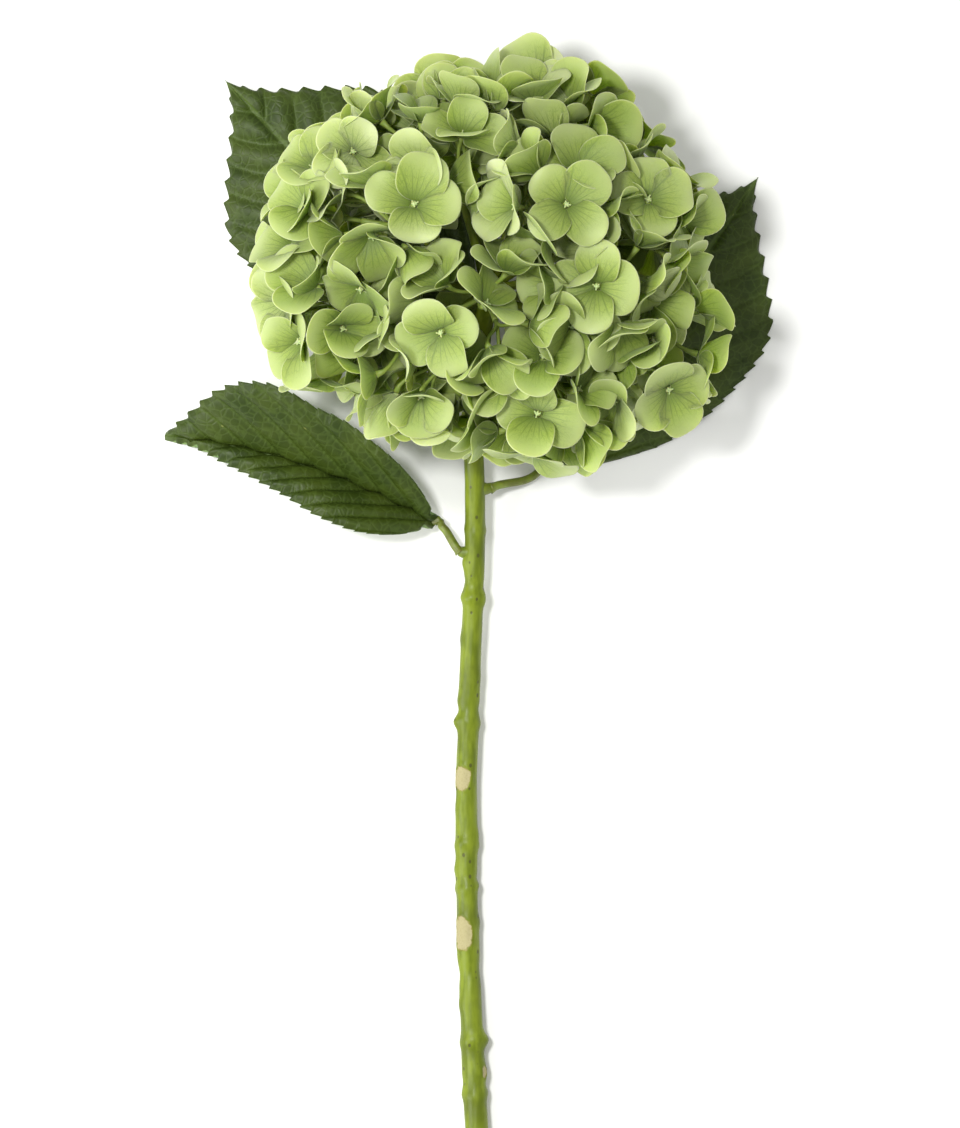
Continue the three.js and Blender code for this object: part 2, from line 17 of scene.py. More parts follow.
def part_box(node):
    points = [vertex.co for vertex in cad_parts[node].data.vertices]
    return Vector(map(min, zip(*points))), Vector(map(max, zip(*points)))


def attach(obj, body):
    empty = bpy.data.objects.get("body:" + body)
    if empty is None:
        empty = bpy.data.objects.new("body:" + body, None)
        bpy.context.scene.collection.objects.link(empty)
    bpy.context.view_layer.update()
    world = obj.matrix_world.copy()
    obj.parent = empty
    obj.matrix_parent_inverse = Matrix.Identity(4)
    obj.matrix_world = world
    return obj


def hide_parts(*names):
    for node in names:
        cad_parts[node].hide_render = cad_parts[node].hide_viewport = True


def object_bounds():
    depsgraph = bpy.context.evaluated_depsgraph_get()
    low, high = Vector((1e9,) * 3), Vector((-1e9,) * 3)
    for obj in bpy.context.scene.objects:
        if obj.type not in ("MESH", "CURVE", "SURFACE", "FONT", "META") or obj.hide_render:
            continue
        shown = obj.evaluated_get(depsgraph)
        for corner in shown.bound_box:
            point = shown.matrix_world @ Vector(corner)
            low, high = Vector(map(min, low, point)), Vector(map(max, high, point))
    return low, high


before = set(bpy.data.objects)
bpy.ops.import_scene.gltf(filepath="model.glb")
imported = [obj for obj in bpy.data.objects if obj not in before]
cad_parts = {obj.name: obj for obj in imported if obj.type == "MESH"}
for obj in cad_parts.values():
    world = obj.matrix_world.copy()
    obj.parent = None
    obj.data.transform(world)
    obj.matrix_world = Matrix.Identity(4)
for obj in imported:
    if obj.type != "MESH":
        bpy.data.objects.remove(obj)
CAD_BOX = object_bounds()

bl_info = {
    "name": "Cut hydrangea",
    "version": (1, 0, 0),
    "blender": (4, 5, 0),
    "location": "View3D > Sidebar > Hydrangea",
    "description": "Makes the stem, leaves and florets of a cut hydrangea around its frame",
    "category": "Add Mesh",
}

MM = 0.001
BODY = "root"
CYMES = sorted(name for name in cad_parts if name.startswith("cyme_"))
LEAVES = sorted(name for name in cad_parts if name.startswith("leaf_"))
LOBE_NAME_LENGTH = len("cyme_01")  # the cymes of one lobe share this much of their names

# How a cyme's plain solid is joined up: its florets' hearts are the only corners with twelve neighbours
HEART_LINKS = 12
HEART_CLEAR = 2.5 * MM  # and all twelve are farther away than this
FLORETS_PER_CYME = 3
SEPALS = 4
LEAF_SIDES = 8  # corners of a plain leaf's section
SAME_PLACE = 0.002 * MM  # corners nearer than this are one

FORK_SHARE = (0.49, 0.42, 0.33)  # where the stem forks, as shares of the box that holds the florets
FORK_SIZE = 7 * MM


def tint(code):
    """The linear colour of a six-digit sRGB code."""
    parts = [int(code[i:i + 2], 16) / 255 for i in (0, 2, 4)]
    return tuple(p / 12.92 if p <= 0.04045 else ((p + 0.055) / 1.055) ** 2.4 for p in parts)


def length(name, description, default):
    """A setting that is a length."""
    return FloatProperty(name=name, description=description, default=default, min=0.0,
                         precision=5, subtype="DISTANCE", unit="LENGTH")


def colour(name, description, code):
    """A setting that is a colour, from a six-digit sRGB code."""
    return FloatVectorProperty(name=name, description=description, default=tint(code),
                               min=0.0, max=1.0, size=3, subtype="COLOR")


# ---- Settings ------------------------------------------------------------------------------------


class FloretSettings(bpy.types.PropertyGroup):
    """Sizes and colours of the florets."""

    sepal_length: length("Sepal length", "From a floret's heart to the tip of a sepal", 16.5 * MM)
    sepal_width: length("Sepal width", "Across the widest part of a sepal", 18.6 * MM)
    sepal_thickness: length("Sepal thickness", "Through the middle of a sepal", 0.5 * MM)
    heart_radius: length("Heart radius", "Half the width of the small star in a floret", 1.0 * MM)
    pedicel_radius: length("Pedicel radius", "Of the thin stalk under a floret", 0.6 * MM)
    stalk_radius: length("Stalk radius", "Of the stalk that carries a cyme", 0.9 * MM)
    open_spacing: length("Open spacing", "Least distance between florets that open on top", 30 * MM)
    open_lift: length("Open lift", "How far an open floret stands above its neighbours", 4.2 * MM)
    seed: IntProperty(name="Seed", description="Picks which florets open first", default=11)
    inner: colour("Inner colour", "Of a sepal beside the heart", "667b2c")
    middle: colour("Middle colour", "Of the middle of a sepal", "8da047")
    outer: colour("Outer colour", "Of a sepal near its edge", "a7b771")
    rim: colour("Rim colour", "Of the thin edge of a sepal", "bfcc8c")
    pale: colour("Pale colour", "Of the palest florets", "cfd8a8")
    dark: colour("Dark colour", "Of the darkest florets", "6c8434")
    vein: colour("Vein colour", "Of the fine veins of a sepal", "4a6222")
    heart: colour("Heart colour", "Of the small star in a floret", "b4c17c")
    heart_grain: colour("Heart grain colour", "Of the grain of that star", "b9c98a")
    pedicel: colour("Pedicel colour", "Of the stalks of the florets", "84993f")


class LeafSettings(bpy.types.PropertyGroup):
    """Sizes and colours of the leaves."""

    thickness: length("Thickness", "Through a blade between its veins", 0.5 * MM)
    tooth_depth: length("Tooth depth", "Of the teeth along the edge", 1.35 * MM)
    tooth_lean: length("Tooth lean", "How far the teeth point to the tip", 1.6 * MM)
    teeth: IntProperty(name="Teeth", description="Along each side of a blade", default=24)
    side_veins: IntProperty(name="Side veins", description="On each side of a blade", default=8)
    vein_depth: length("Vein depth", "How far the side veins sink into the blade", 0.5 * MM)
    quilting: length("Quilting", "How high the blade swells between its veins", 1.6 * MM)
    midrib_radius: length("Midrib radius", "Of the rib under the blade, at its base", 1.25 * MM)
    petiole_radius: length("Petiole radius", "Of the stalk of a leaf", 1.6 * MM)
    top: colour("Top colour", "Of the upper side of a leaf", "3b4912")
    dark: colour("Dark colour", "Of the darker patches of a leaf", "2a390c")
    vein: colour("Vein colour", "Of the veins of a leaf", "566a2e")
    under: colour("Underside colour", "Of the lower side of a leaf", "5f7a44")
    under_light: colour("Light underside colour", "Of its lighter patches", "6c8650")
    under_vein: colour("Underside vein colour", "Of the veins on the lower side", "93a766")
    petiole: colour("Petiole colour", "Of the stalk of a leaf", "74842a")
    petiole_dark: colour("Petiole dark colour", "Of the darker streaks of a leaf's stalk", "5d641c")
    fleck: colour("Fleck colour", "Of the few pale specks on a leaf", "a8a862")


class StemSettings(bpy.types.PropertyGroup):
    """Sizes and colours of the stem."""

    cut_radius: length("Cut radius", "Of the stem at its cut end", 4.3 * MM)
    top_radius: length("Top radius", "Of the stem where it forks", 3.5 * MM)
    ray_radius: length("Ray radius", "Of a branch where it leaves the fork", 1.9 * MM)
    ray_end_radius: length("Ray end radius", "Of a branch where it carries its cymes", 1.4 * MM)
    slant: FloatProperty(name="Slant", description="How steeply the cut end is sliced", default=0.6)
    skin: colour("Skin colour", "Of most of the stem", "5c6b0a")
    bright: colour("Bright colour", "Of the lighter streaks of the stem", "75841a")
    deep: colour("Deep colour", "Of the growth rings and hollows of the stem", "495210")
    fleck: colour("Fleck colour", "Of the small dark flecks", "474a1c")
    scar: colour("Scar colour", "Of the healed leaf scars and the cut wood", "a29a70")
    scar_dark: colour("Dark scar colour", "Of the grain of the scars", "8c8454")
    scar_edge: colour("Scar edge colour", "Of the bark round a scar", "8a7c42")


class StageSettings(bpy.types.PropertyGroup):
    """Camera, lights and floor."""

    view_height: length("View height", "Height of the plant that the picture takes in", 406 * MM)
    view_distance: length("View distance", "From the camera down to the head", 3.2)
    key_power: FloatProperty(name="Key power", description="Of the soft main light", default=17.3,
                             unit="POWER")
    fill_power: FloatProperty(name="Fill power", description="Of the low light from the left", default=27,
                              unit="POWER")
    sky: FloatProperty(name="Sky", description="Strength of the light all round", default=0.68)
    floor: colour("Floor colour", "Of the plain floor", "f6f6f4")


# ---- Vectors and lines ---------------------------------------------------------------------------

UNEVEN_WAVES, UNEVEN_SCALE = 5, 3
NEARLY_UPRIGHT = 0.9  # an axis with this much of Z or more needs another helper


def circle(count):
    """Angles spaced evenly round a circle."""
    return np.linspace(0, 2 * math.pi, count, endpoint=False)


def unit(vectors):
    """The same directions with a length of one."""
    return vectors / np.linalg.norm(vectors, axis=-1, keepdims=True)


def across_axis(axis):
    """Two unit vectors square to each axis and to each other."""
    leaning = np.abs(axis[..., 2:]) < NEARLY_UPRIGHT
    helper = np.where(leaning, (0.0, 0.0, 1.0), (1.0, 0.0, 0.0))
    first = unit(np.cross(helper, axis))
    return first, np.cross(axis, first)


def blend(a, b, share):
    """From a where share is 0 to b where it is 1."""
    return a + (b - a) * share


def smooth(share):
    """0 below 0, 1 above 1, and rising gently between."""
    share = np.clip(share, 0.0, 1.0)
    return share * share * (3 - 2 * share)


def lengths_along(line):
    """How far along a line each of its points is."""
    return np.concatenate(([0], np.cumsum(np.linalg.norm(np.diff(line, axis=0), axis=1))))


def curve_through(points, count):
    """A smooth line of count points, evenly spaced, through a few points."""
    points = np.asarray(points, float)
    knots = lengths_along(points)
    slopes = np.gradient(points, knots, axis=0)
    shares = np.linspace(0, knots[-1], count * 4)
    piece = np.clip(np.searchsorted(knots, shares) - 1, 0, len(points) - 2)
    span = (knots[piece + 1] - knots[piece])[:, None]
    t = ((shares - knots[piece]) / span[:, 0])[:, None]
    line = ((1 + 2 * t) * (1 - t) ** 2 * points[piece] + t * (1 - t) ** 2 * span * slopes[piece]
            + t * t * (3 - 2 * t) * points[piece + 1] - t * t * (1 - t) * span * slopes[piece + 1])
    return evenly(line, count)


def evenly(line, count):
    """The same line as count points, evenly spaced."""
    along = lengths_along(line)
    wanted = np.linspace(0, along[-1], count)
    return np.stack([np.interp(wanted, along, line[:, axis]) for axis in range(3)], axis=1)


def bezier(a, b, c, d, count):
    """Points along a curve from a to d that sets out towards b and arrives from c."""
    t = np.linspace(0, 1, count)[:, None]
    return (1 - t) ** 3 * a + 3 * t * (1 - t) ** 2 * b + 3 * t * t * (1 - t) * c + t ** 3 * d


def carried_frames(line):
    """The heading at each point of a line, and two directions square to it that don't spin."""
    heading = unit(np.gradient(line, axis=0))
    first = np.empty_like(heading)
    first[0] = across_axis(heading[0])[0]
    for i in range(1, len(line)):
        kept = first[i - 1] - heading[i] * np.dot(first[i - 1], heading[i])
        first[i] = unit(kept)
    return heading, first, np.cross(heading, first)


def unevenness(seed, places):
    """A smooth repeatable unevenness between about -1 and 1 at each place, from a few waves."""
    rng = np.random.default_rng(seed)
    total = np.zeros(places.shape[:-1])
    for _ in range(UNEVEN_WAVES):
        wave = rng.normal(size=places.shape[-1])
        total += np.sin(places @ wave + rng.uniform(0, 2 * math.pi))
    return total / UNEVEN_SCALE


# ---- Gathering a mesh ----------------------------------------------------------------------------


class Skin:
    """Points and faces gathered for one piece, with the values that its materials read."""

    def __init__(self):
        self.points = []
        self.faces = []
        self.paints = []
        self.flat = []
        self.tone = []
        self.count = 0

    def add(self, points, faces, paint=0, flat=(0.0, 0.0, 0.0), tone=0.0):
        """flat is a vector for each point and tone a number, both read by the material."""
        size = len(points)
        self.points.append(points)
        self.faces.extend([tuple(int(corner) + self.count for corner in face) for face in faces])
        self.paints.extend([paint] * len(faces))
        self.flat.append(np.broadcast_to(np.asarray(flat, float), (size, 3)))
        self.tone.append(np.broadcast_to(np.asarray(tone, float), (size,)))
        self.count += size

    def make(self, name, materials):
        """Makes the object, with what was gathered so far."""
        mesh = bpy.data.meshes.new(name)
        mesh.from_pydata(np.concatenate(self.points).tolist(), [], self.faces)
        mesh.polygons.foreach_set("material_index", self.paints)
        mesh.polygons.foreach_set("use_smooth", [True] * len(self.faces))
        flat = mesh.attributes.new("flat", "FLOAT_VECTOR", "POINT")
        flat.data.foreach_set("vector", np.concatenate(self.flat).ravel())
        tone = mesh.attributes.new("tone", "FLOAT", "POINT")
        tone.data.foreach_set("value", np.concatenate(self.tone))
        for material in materials:
            mesh.materials.append(material)
        mesh.update()
        made = bpy.data.objects.new(name, mesh)
        bpy.context.scene.collection.objects.link(made)
        return made


def tube_faces(rings, sides):
    """Faces of a tube of rings, with a point at the middle of each end."""
    faces = []
    for r in range(rings - 1):
        for s in range(sides):
            here = r * sides + s
            beside = r * sides + (s + 1) % sides
            faces.append((here, beside, beside + sides, here + sides))
    start = rings * sides
    last = (rings - 1) * sides
    for s in range(sides):
        faces.append((start, (s + 1) % sides, s))
        faces.append((start + 1, last + s, last + (s + 1) % sides))
    return faces


def tube(line, radii, sides):
    """Points and faces of a closed round tube along a line."""
    _, first, second = carried_frames(line)
    angles = circle(sides)
    radii = np.broadcast_to(np.asarray(radii, float).reshape(len(line), -1), (len(line), sides))
    ring = np.cos(angles)[None, :, None] * first[:, None] + np.sin(angles)[None, :, None] * second[:, None]
    points = line[:, None] + ring * radii[:, :, None]
    points = np.concatenate([points.reshape(-1, 3), line[:1], line[-1:]])
    return points, tube_faces(len(line), sides)


# ---- Reading the frame ---------------------------------------------------------------------------


def corners_of(node):
    """A plain solid's corners, merged where they meet, and the corners that each is joined to."""
    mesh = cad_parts[node].data
    places = np.array([vertex.co for vertex in mesh.vertices])
    keys = np.round(places / SAME_PLACE).astype(np.int64)
    _, firsts, known = np.unique(keys, axis=0, return_index=True, return_inverse=True)
    known = known.reshape(-1)
    links = [set() for _ in firsts]
    for edge in mesh.edges:
        a, b = known[edge.vertices[0]], known[edge.vertices[1]]
        if a != b:
            links[a].add(int(b))
            links[b].add(int(a))
    return places[firsts], links


def layers(links, start):
    """Corners in sets: the start, those joined to it, those joined to these, and so on."""
    found = []
    layer = set(start)
    seen = set(start)
    while layer:
        found.append(sorted(layer))
        layer = {other for corner in layer for other in links[corner]} - seen
        seen |= layer
    return found


def head_box():
    """The least and the greatest corner of the box that holds all the plain cymes."""
    boxes = [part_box(name) for name in CYMES]
    low = np.min([box[0] for box in boxes], axis=0)
    high = np.max([box[1] for box in boxes], axis=0)
    return low, high


def fork_place():
    """The middle of the knot in which the stem ends and the rays begin."""
    low, high = head_box()
    guess = blend(low, high, np.array(FORK_SHARE))
    points, _ = corners_of("stem")
    near = points[np.linalg.norm(points - guess, axis=1) < FORK_SIZE]
    return near.mean(axis=0) if len(near) else guess


def read_cyme(node, fork):
    """Where a cyme's stalk starts, and the heart, facing and turn of each of its florets."""
    points, links = corners_of(node)
    hearts = []
    for i, linked in enumerate(links):
        apart = np.linalg.norm(points[sorted(linked)] - points[i], axis=1)
        if len(linked) == HEART_LINKS and apart.min() > HEART_CLEAR:
            hearts.append(i)
    if len(hearts) != FLORETS_PER_CYME:
        raise ValueError(f"{node} shows {len(hearts)} hearts instead of {FLORETS_PER_CYME}")
    start = points[np.argmin(np.linalg.norm(points - fork, axis=1))]
    florets = []
    for heart in hearts:
        rim = points[sorted(links[heart])]
        middle = rim.mean(axis=0)
        facing = unit(middle - points[heart])
        first, second = across_axis(facing)
        out = np.linalg.norm(rim - middle, axis=1)
        notches = rim[np.argsort(out)[:SEPALS]] - middle
        turns = np.exp(1j * SEPALS * np.arctan2(notches @ second, notches @ first))
        turn = (np.angle(turns.sum()) + math.pi) / SEPALS
        florets.append({"node": node, "heart": points[heart], "facing": facing, "turn": turn})
    return {"node": node, "start": start, "florets": florets}


# ---- The sepals ----------------------------------------------------------------------------------

BENDS = ("climb", "curl", "cup", "twist", "swing")  # what a sepal's shape is told by, all angles
BEND_LOW = np.radians((-25, 4, 6, -40, -24))
BEND_HIGH = np.radians((88, 80, 75, 40, 24))
OPEN_BEND = np.radians((15, 34, 24, 0, 0))
SHY_BEND = np.radians((29, 30, 30, 0, 0))
BEND_SPREAD = np.radians((19, 12, 12, 14, 10))
SHY_LIFT = 2.5 * MM  # how far the others stand above or below their place
OPEN_SPREAD = 0.5  # how far the sepals of an open floret stray from their shape, beside 1 for the others

LOBE_REACH = 14 * MM  # about how far the outer florets of a lobe stand from its middle
LOBE_LEAN = 0.7  # how far these turn away from it
OWN_LEAN = 0.34  # how far each floret also leans its own way
PLEAT_LINE = ((0.54, 0.84, 0.0), (0.58, 0.5, 0.0))  # shares of the head's box, seen from above
PLEAT_REACH = 10 * MM
PLEAT_OPEN = 0.35  # no floret that takes part more than this is open
PLEAT_LEAN = np.array((-1.25, 0.2, 0.0))  # the florets of the pleat turn to the hollow beside it
OPEN_LEAN = 0.55  # how much of both an open floret has

STRAY_MOST = 1.8  # the most that a bend or a lean strays, beside 1 for its usual spread
SIZE_MOST = 1.6  # and the most that a size does

SEPAL_ROOT = 0.9 * MM  # from a floret's axis to the start of a sepal
SEPAL_STEP = 0.35 * MM  # how much higher every other sepal of a floret sits
SIZE_SPREAD = 0.09  # how much sepals differ in size

SETTLE_STEPS = 46
SETTLE_START = 0.5  # the share of their size at which the sepals start to grow
SETTLE_GROWN = 0.75  # the share of the steps after which they are full size
SETTLE_GAP = 2.7 * MM  # sepals keep this far apart, measured between a few points on each
SETTLE_BACK = 0.04  # how strongly a sepal springs back to its own shape in a step
SETTLE_DAMPING = 0.35
SETTLE_BOLDNESS = 2.2  # how far a sepal moves in a step, beside 1 for the step that fits best
SETTLE_NUDGE = 1e-4  # the small angle by which slopes are measured
SETTLE_NEAR = 1.25  # sepals whose middles are more of their lengths apart than this don't touch
NEIGHBOUR_REACH = 2.2  # nor do those whose florets are more lengths apart than this
TINY = 1e-9
OPEN_GIVE = 0.3  # how easily an open floret is pushed aside, beside 1 for the others
LIFT_GIVE = 0.6  # how much of a push along its facing moves a whole floret
LIFT_BACK = 0.03
LIFT_LOW = -3 * MM
LIFT_HIGH = 9 * MM
FLOOR_GAP = 0.7 * MM
LEAF_GAP = 2.6 * MM
LEAF_SPACING = 3 * MM
LEAF_MARGIN = 10 * MM  # leaves are felt this far outside the head
FACES_UP = 0.5


class Head:
    """Every sepal of the head, as arrays with one row for each sepal."""

    def __init__(self, florets, settings):
        rng = np.random.default_rng(settings.seed)
        count = len(florets)
        hearts = np.array([floret["heart"] for floret in florets])
        facing = np.array([floret["facing"] for floret in florets])
        is_open = pick_open(hearts, settings.open_spacing, rng)
        pleated = pleat(hearts)
        is_open &= pleated < PLEAT_OPEN
        facing = lean_apart(florets, hearts, facing, is_open, rng)
        facing = unit(facing + pleated[:, None] * PLEAT_LEAN)
        self.floret = np.repeat(np.arange(count), SEPALS)
        self.heart = hearts[self.floret]
        self.facing = facing[self.floret]
        self.first, self.second = across_axis(self.facing)
        quarter = np.tile(np.arange(SEPALS) * 2 * math.pi / SEPALS, count)
        turns = np.array([floret["turn"] for floret in florets])
        self.angle = turns[self.floret] + quarter
        self.seat = np.tile(np.arange(SEPALS) % 2, count) * SEPAL_STEP
        sizes = 1 + SIZE_SPREAD * rng.normal(size=(count * SEPALS, 2)).clip(-SIZE_MOST, SIZE_MOST)
        self.length = settings.sepal_length * sizes[:, 0]
        self.width = settings.sepal_width * sizes[:, 1]
        self.is_open = is_open[self.floret]
        own = np.where(self.is_open[:, None], OPEN_BEND, SHY_BEND)
        stray = np.where(self.is_open[:, None], OPEN_SPREAD, 1.0)
        self.own = own + BEND_SPREAD * stray * rng.normal(size=own.shape).clip(-STRAY_MOST, STRAY_MOST)
        self.own = self.own.clip(BEND_LOW, BEND_HIGH)
        self.bend = self.own.copy()
        self.lift = np.where(is_open, settings.open_lift, SHY_LIFT * rng.uniform(-1, 1, count))
        self.own_lift = self.lift.copy()

    def surface(self, bend, spots, grown=1.0):
        """Points on the middle of every sepal, and the directions square to it there.
        A spot is a share of the way from the heart to the tip, and one from the middle line to the side."""
        climb, curl, cup, twist, swing = (bend[:, i, None] for i in range(len(BENDS)))
        long = self.length[:, None] * grown
        half = self.width[:, None] / 2 * grown
        along, aside = spots[None, :, 0], spots[None, :, 1]
        start = climb + curl / 2
        lean = start - curl * along
        out = long * (np.sin(start) - np.sin(lean)) / curl
        up = long * (np.cos(lean) - np.cos(start)) / curl
        side = half / cup * np.sin(cup * aside)
        rise = half / cup * (1 - np.cos(cup * aside))
        turn = twist * along
        side, rise = (side * np.cos(turn) - rise * np.sin(turn), side * np.sin(turn) + rise * np.cos(turn))
        arc = cup * aside + turn
        out, up = out - rise * np.sin(lean), up + rise * np.cos(lean)
        normal = (-np.cos(arc) * np.sin(lean), -np.sin(arc), np.cos(arc) * np.cos(lean))
        direction = self.angle[:, None] + swing
        cosine, sine = np.cos(direction)[..., None], np.sin(direction)[..., None]
        outward = cosine * self.first[:, None] + sine * self.second[:, None]
        sideways = cosine * self.second[:, None] - sine * self.first[:, None]
        facing = self.facing[:, None]
        base = self.heart[:, None] + facing * (self.lift[self.floret] + self.seat)[:, None, None]
        axes = (outward, sideways, facing)
        points = base
        for axis, far in zip(axes, (out + SEPAL_ROOT, side, up)):
            points = points + axis * far[..., None]
        normals = sum(axis * far[..., None] for axis, far in zip(axes, normal))
        return points, normals


def pick_open(hearts, spacing, rng):
    """Picks florets in a random order, as long as none picked before is nearer than the spacing."""
    is_open = np.zeros(len(hearts), bool)
    for i in rng.permutation(len(hearts)):
        if not np.any(is_open & (np.linalg.norm(hearts - hearts[i], axis=1) < spacing)):
            is_open[i] = True
    return is_open


def pleat(hearts):
    """How much each floret takes part in the pleat: 1 on its line, and 0 well away or below."""
    low, high = head_box()
    start, end = (blend(low, high, np.array(shares))[:2] for shares in PLEAT_LINE)
    line = end - start
    along = ((hearts[:, :2] - start) @ line / (line @ line)).clip(0, 1)
    apart = np.linalg.norm(hearts[:, :2] - start - along[:, None] * line, axis=1)
    return np.exp(-(apart / PLEAT_REACH) ** 2) * (hearts[:, 2] > (low[2] + high[2]) / 2)


def lean_apart(florets, hearts, facing, is_open, rng):
    """Turns the florets of a lobe away from its middle, and each a little its own way."""
    lobes = np.unique([floret["node"][:LOBE_NAME_LENGTH] for floret in florets], return_inverse=True)[1]
    middles = np.array([hearts[lobes == lobe].mean(axis=0) for lobe in range(lobes.max() + 1)])
    away = hearts - middles[lobes]
    away -= facing * np.sum(away * facing, axis=1, keepdims=True)
    stray = rng.normal(size=facing.shape).clip(-STRAY_MOST, STRAY_MOST)
    lean = LOBE_LEAN * away / LOBE_REACH + OWN_LEAN * stray
    return unit(facing + lean * np.where(is_open, OPEN_LEAN, 1.0)[:, None])


def settling_spots():
    """A few places over a sepal, by which it feels its neighbours."""
    rows = ((0.3, (-0.72, 0.0, 0.72)), (0.55, (-0.97, -0.35, 0.35, 0.97)), (0.8, (-0.75, 0.0, 0.75)),
            (0.96, (-0.3, 0.3)))
    return np.array([(along, aside) for along, row in rows for aside in row])


def neighbour_pairs(head):
    """Pairs of sepals of different florets that could ever touch."""
    reach = NEIGHBOUR_REACH * head.length.max()
    a, b = np.triu_indices(len(head.heart), 1)
    apart = np.linalg.norm(head.heart[a] - head.heart[b], axis=1)
    near = (apart < reach) & (head.floret[a] != head.floret[b])
    return a[near], b[near]


def pushes_between(points, pairs, give, reach):
    """How far each point of each sepal is pushed by the sepals of other florets."""
    a, b = pairs
    middles = points.mean(axis=1)
    near = np.linalg.norm(middles[a] - middles[b], axis=1) < reach
    a, b = a[near], b[near]
    between = points[a][:, :, None] - points[b][:, None]
    apart = np.linalg.norm(between, axis=-1, keepdims=True) + TINY
    push = between / apart * np.clip(SETTLE_GAP - apart, 0, None)
    share = (give[a] / (give[a] + give[b]))[:, None, None]
    total = np.zeros_like(points)
    np.add.at(total, a, push.sum(axis=2) * share)
    np.add.at(total, b, -push.sum(axis=1) * (1 - share))
    return total


def pushes_up(points, ground):
    """How far points are pushed up by the floor and away from the leaves below them."""
    total = np.zeros_like(points)
    total[..., 2] = np.clip(FLOOR_GAP - points[..., 2], 0, None)
    top = max(ground["top"] + LEAF_GAP, FLOOR_GAP)
    for row, column in zip(*np.nonzero(points[..., 2] < top)):
        point = points[row, column]
        place = ground["tree"].find(point)[0]
        below = point[2] - place[2]
        aside = math.hypot(point[0] - place[0], point[1] - place[1])
        if aside < LEAF_SPACING and below < LEAF_GAP:
            total[row, column, 2] += LEAF_GAP - below
    return total


def leaf_ground():
    """Points over the leaves that lie under the head, for the florets to rest on."""
    low, _ = head_box()
    places = []
    for name in LEAVES:
        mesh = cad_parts[name].data
        mesh.calc_loop_triangles()
        for triangle in mesh.loop_triangles:
            a, b, c = (np.array(mesh.vertices[i].co) for i in triangle.vertices)
            if triangle.normal[2] < FACES_UP:
                continue
            longest = max(np.linalg.norm(b - a), np.linalg.norm(c - a))
            steps = max(1, math.ceil(longest / LEAF_SPACING))
            for i in range(steps + 1):
                for j in range(steps + 1 - i):
                    places.append(a + (b - a) * i / steps + (c - a) * j / steps)
    places = np.array([place for place in places if np.all(place[:2] > low[:2] - LEAF_MARGIN)])
    tree = KDTree(len(places))
    for i, place in enumerate(places):
        tree.insert(place, i)
    tree.balance()
    return {"tree": tree, "top": places[:, 2].max()}


def settle(head):
    """Lets the sepals grow to full size while they push each other, the floor and the leaves away."""
    spots = settling_spots()
    pairs = neighbour_pairs(head)
    give = np.where(head.is_open, OPEN_GIVE, 1.0)
    ground = leaf_ground()
    reach = head.length.max() * SETTLE_NEAR
    for step in range(SETTLE_STEPS):
        grown = blend(SETTLE_START, 1.0, min(1.0, step / (SETTLE_STEPS * SETTLE_GROWN)))
        points, _ = head.surface(head.bend, spots, grown)
        push = pushes_between(points, pairs, give, reach * grown) + pushes_up(points, ground)
        push *= np.minimum(1, SETTLE_GAP / (np.linalg.norm(push, axis=-1, keepdims=True) + TINY))
        slopes = []
        for k in range(len(BENDS)):
            moved = head.bend.copy()
            moved[:, k] += SETTLE_NUDGE
            slopes.append((head.surface(moved, spots, grown)[0] - points) / SETTLE_NUDGE)
        slopes = np.stack(slopes, axis=-1)
        normal = np.einsum("npck,npcl->nkl", slopes, slopes)
        damping = SETTLE_DAMPING * len(spots) * (head.length[:, None, None] * grown) ** 2
        normal += np.eye(len(BENDS)) * damping
        wanted = np.einsum("npck,npc->nk", slopes, push)
        head.bend += np.linalg.solve(normal, wanted[..., None])[..., 0] * SETTLE_BOLDNESS
        head.bend += (head.own - head.bend) * SETTLE_BACK
        head.bend = head.bend.clip(BEND_LOW, BEND_HIGH)
        along = np.einsum("npc,nc->n", push, head.facing) / len(spots)
        lift = np.bincount(head.floret, along) / SEPALS
        head.lift = head.lift + lift * LIFT_GIVE + (head.own_lift - head.lift) * LIFT_BACK
        head.lift = head.lift.clip(LIFT_LOW, LIFT_HIGH)


SEPAL_SIDES = 32
SEPAL_RINGS = (0.2, 0.38, 0.55, 0.7, 0.82, 0.91, 0.965, 1.0)
SEPAL_SQUARENESS = 2.15  # 2 is an ellipse, more is a rounder square
SEPAL_REACH_MOST = 1.05
BASE_NARROWING = 0.12
WAVE = 0.55 * MM  # how far a sepal's edge waves up and down
WAVE_SIZES = (0.4, 1.0)  # the least and most share of this in one wave
WAVE_TURNS = (2, 3, 4)  # how many times each wave goes up and down round the edge
WAVE_BASE = 0.1  # as if the waves were this far from the heart at the least
WAVE_RISE, ROLL_RISE, THINNING_RISE = 3, 6, 5  # the larger, the closer to the edge these begin
EDGE_ROLL = 0.5 * MM  # how far its edge rolls back
ROLL_SIZES = (-0.3, 1.0)
GROOVE_DEPTH = 0.18 * MM  # of the crease along its middle
GROOVE_WIDTH = 0.07  # as a share of its half width
FLOOR_GIVE = 0.15  # the share that is kept of how far a sepal dips below the floor's gap
FLOOR_DIP = 2 * MM


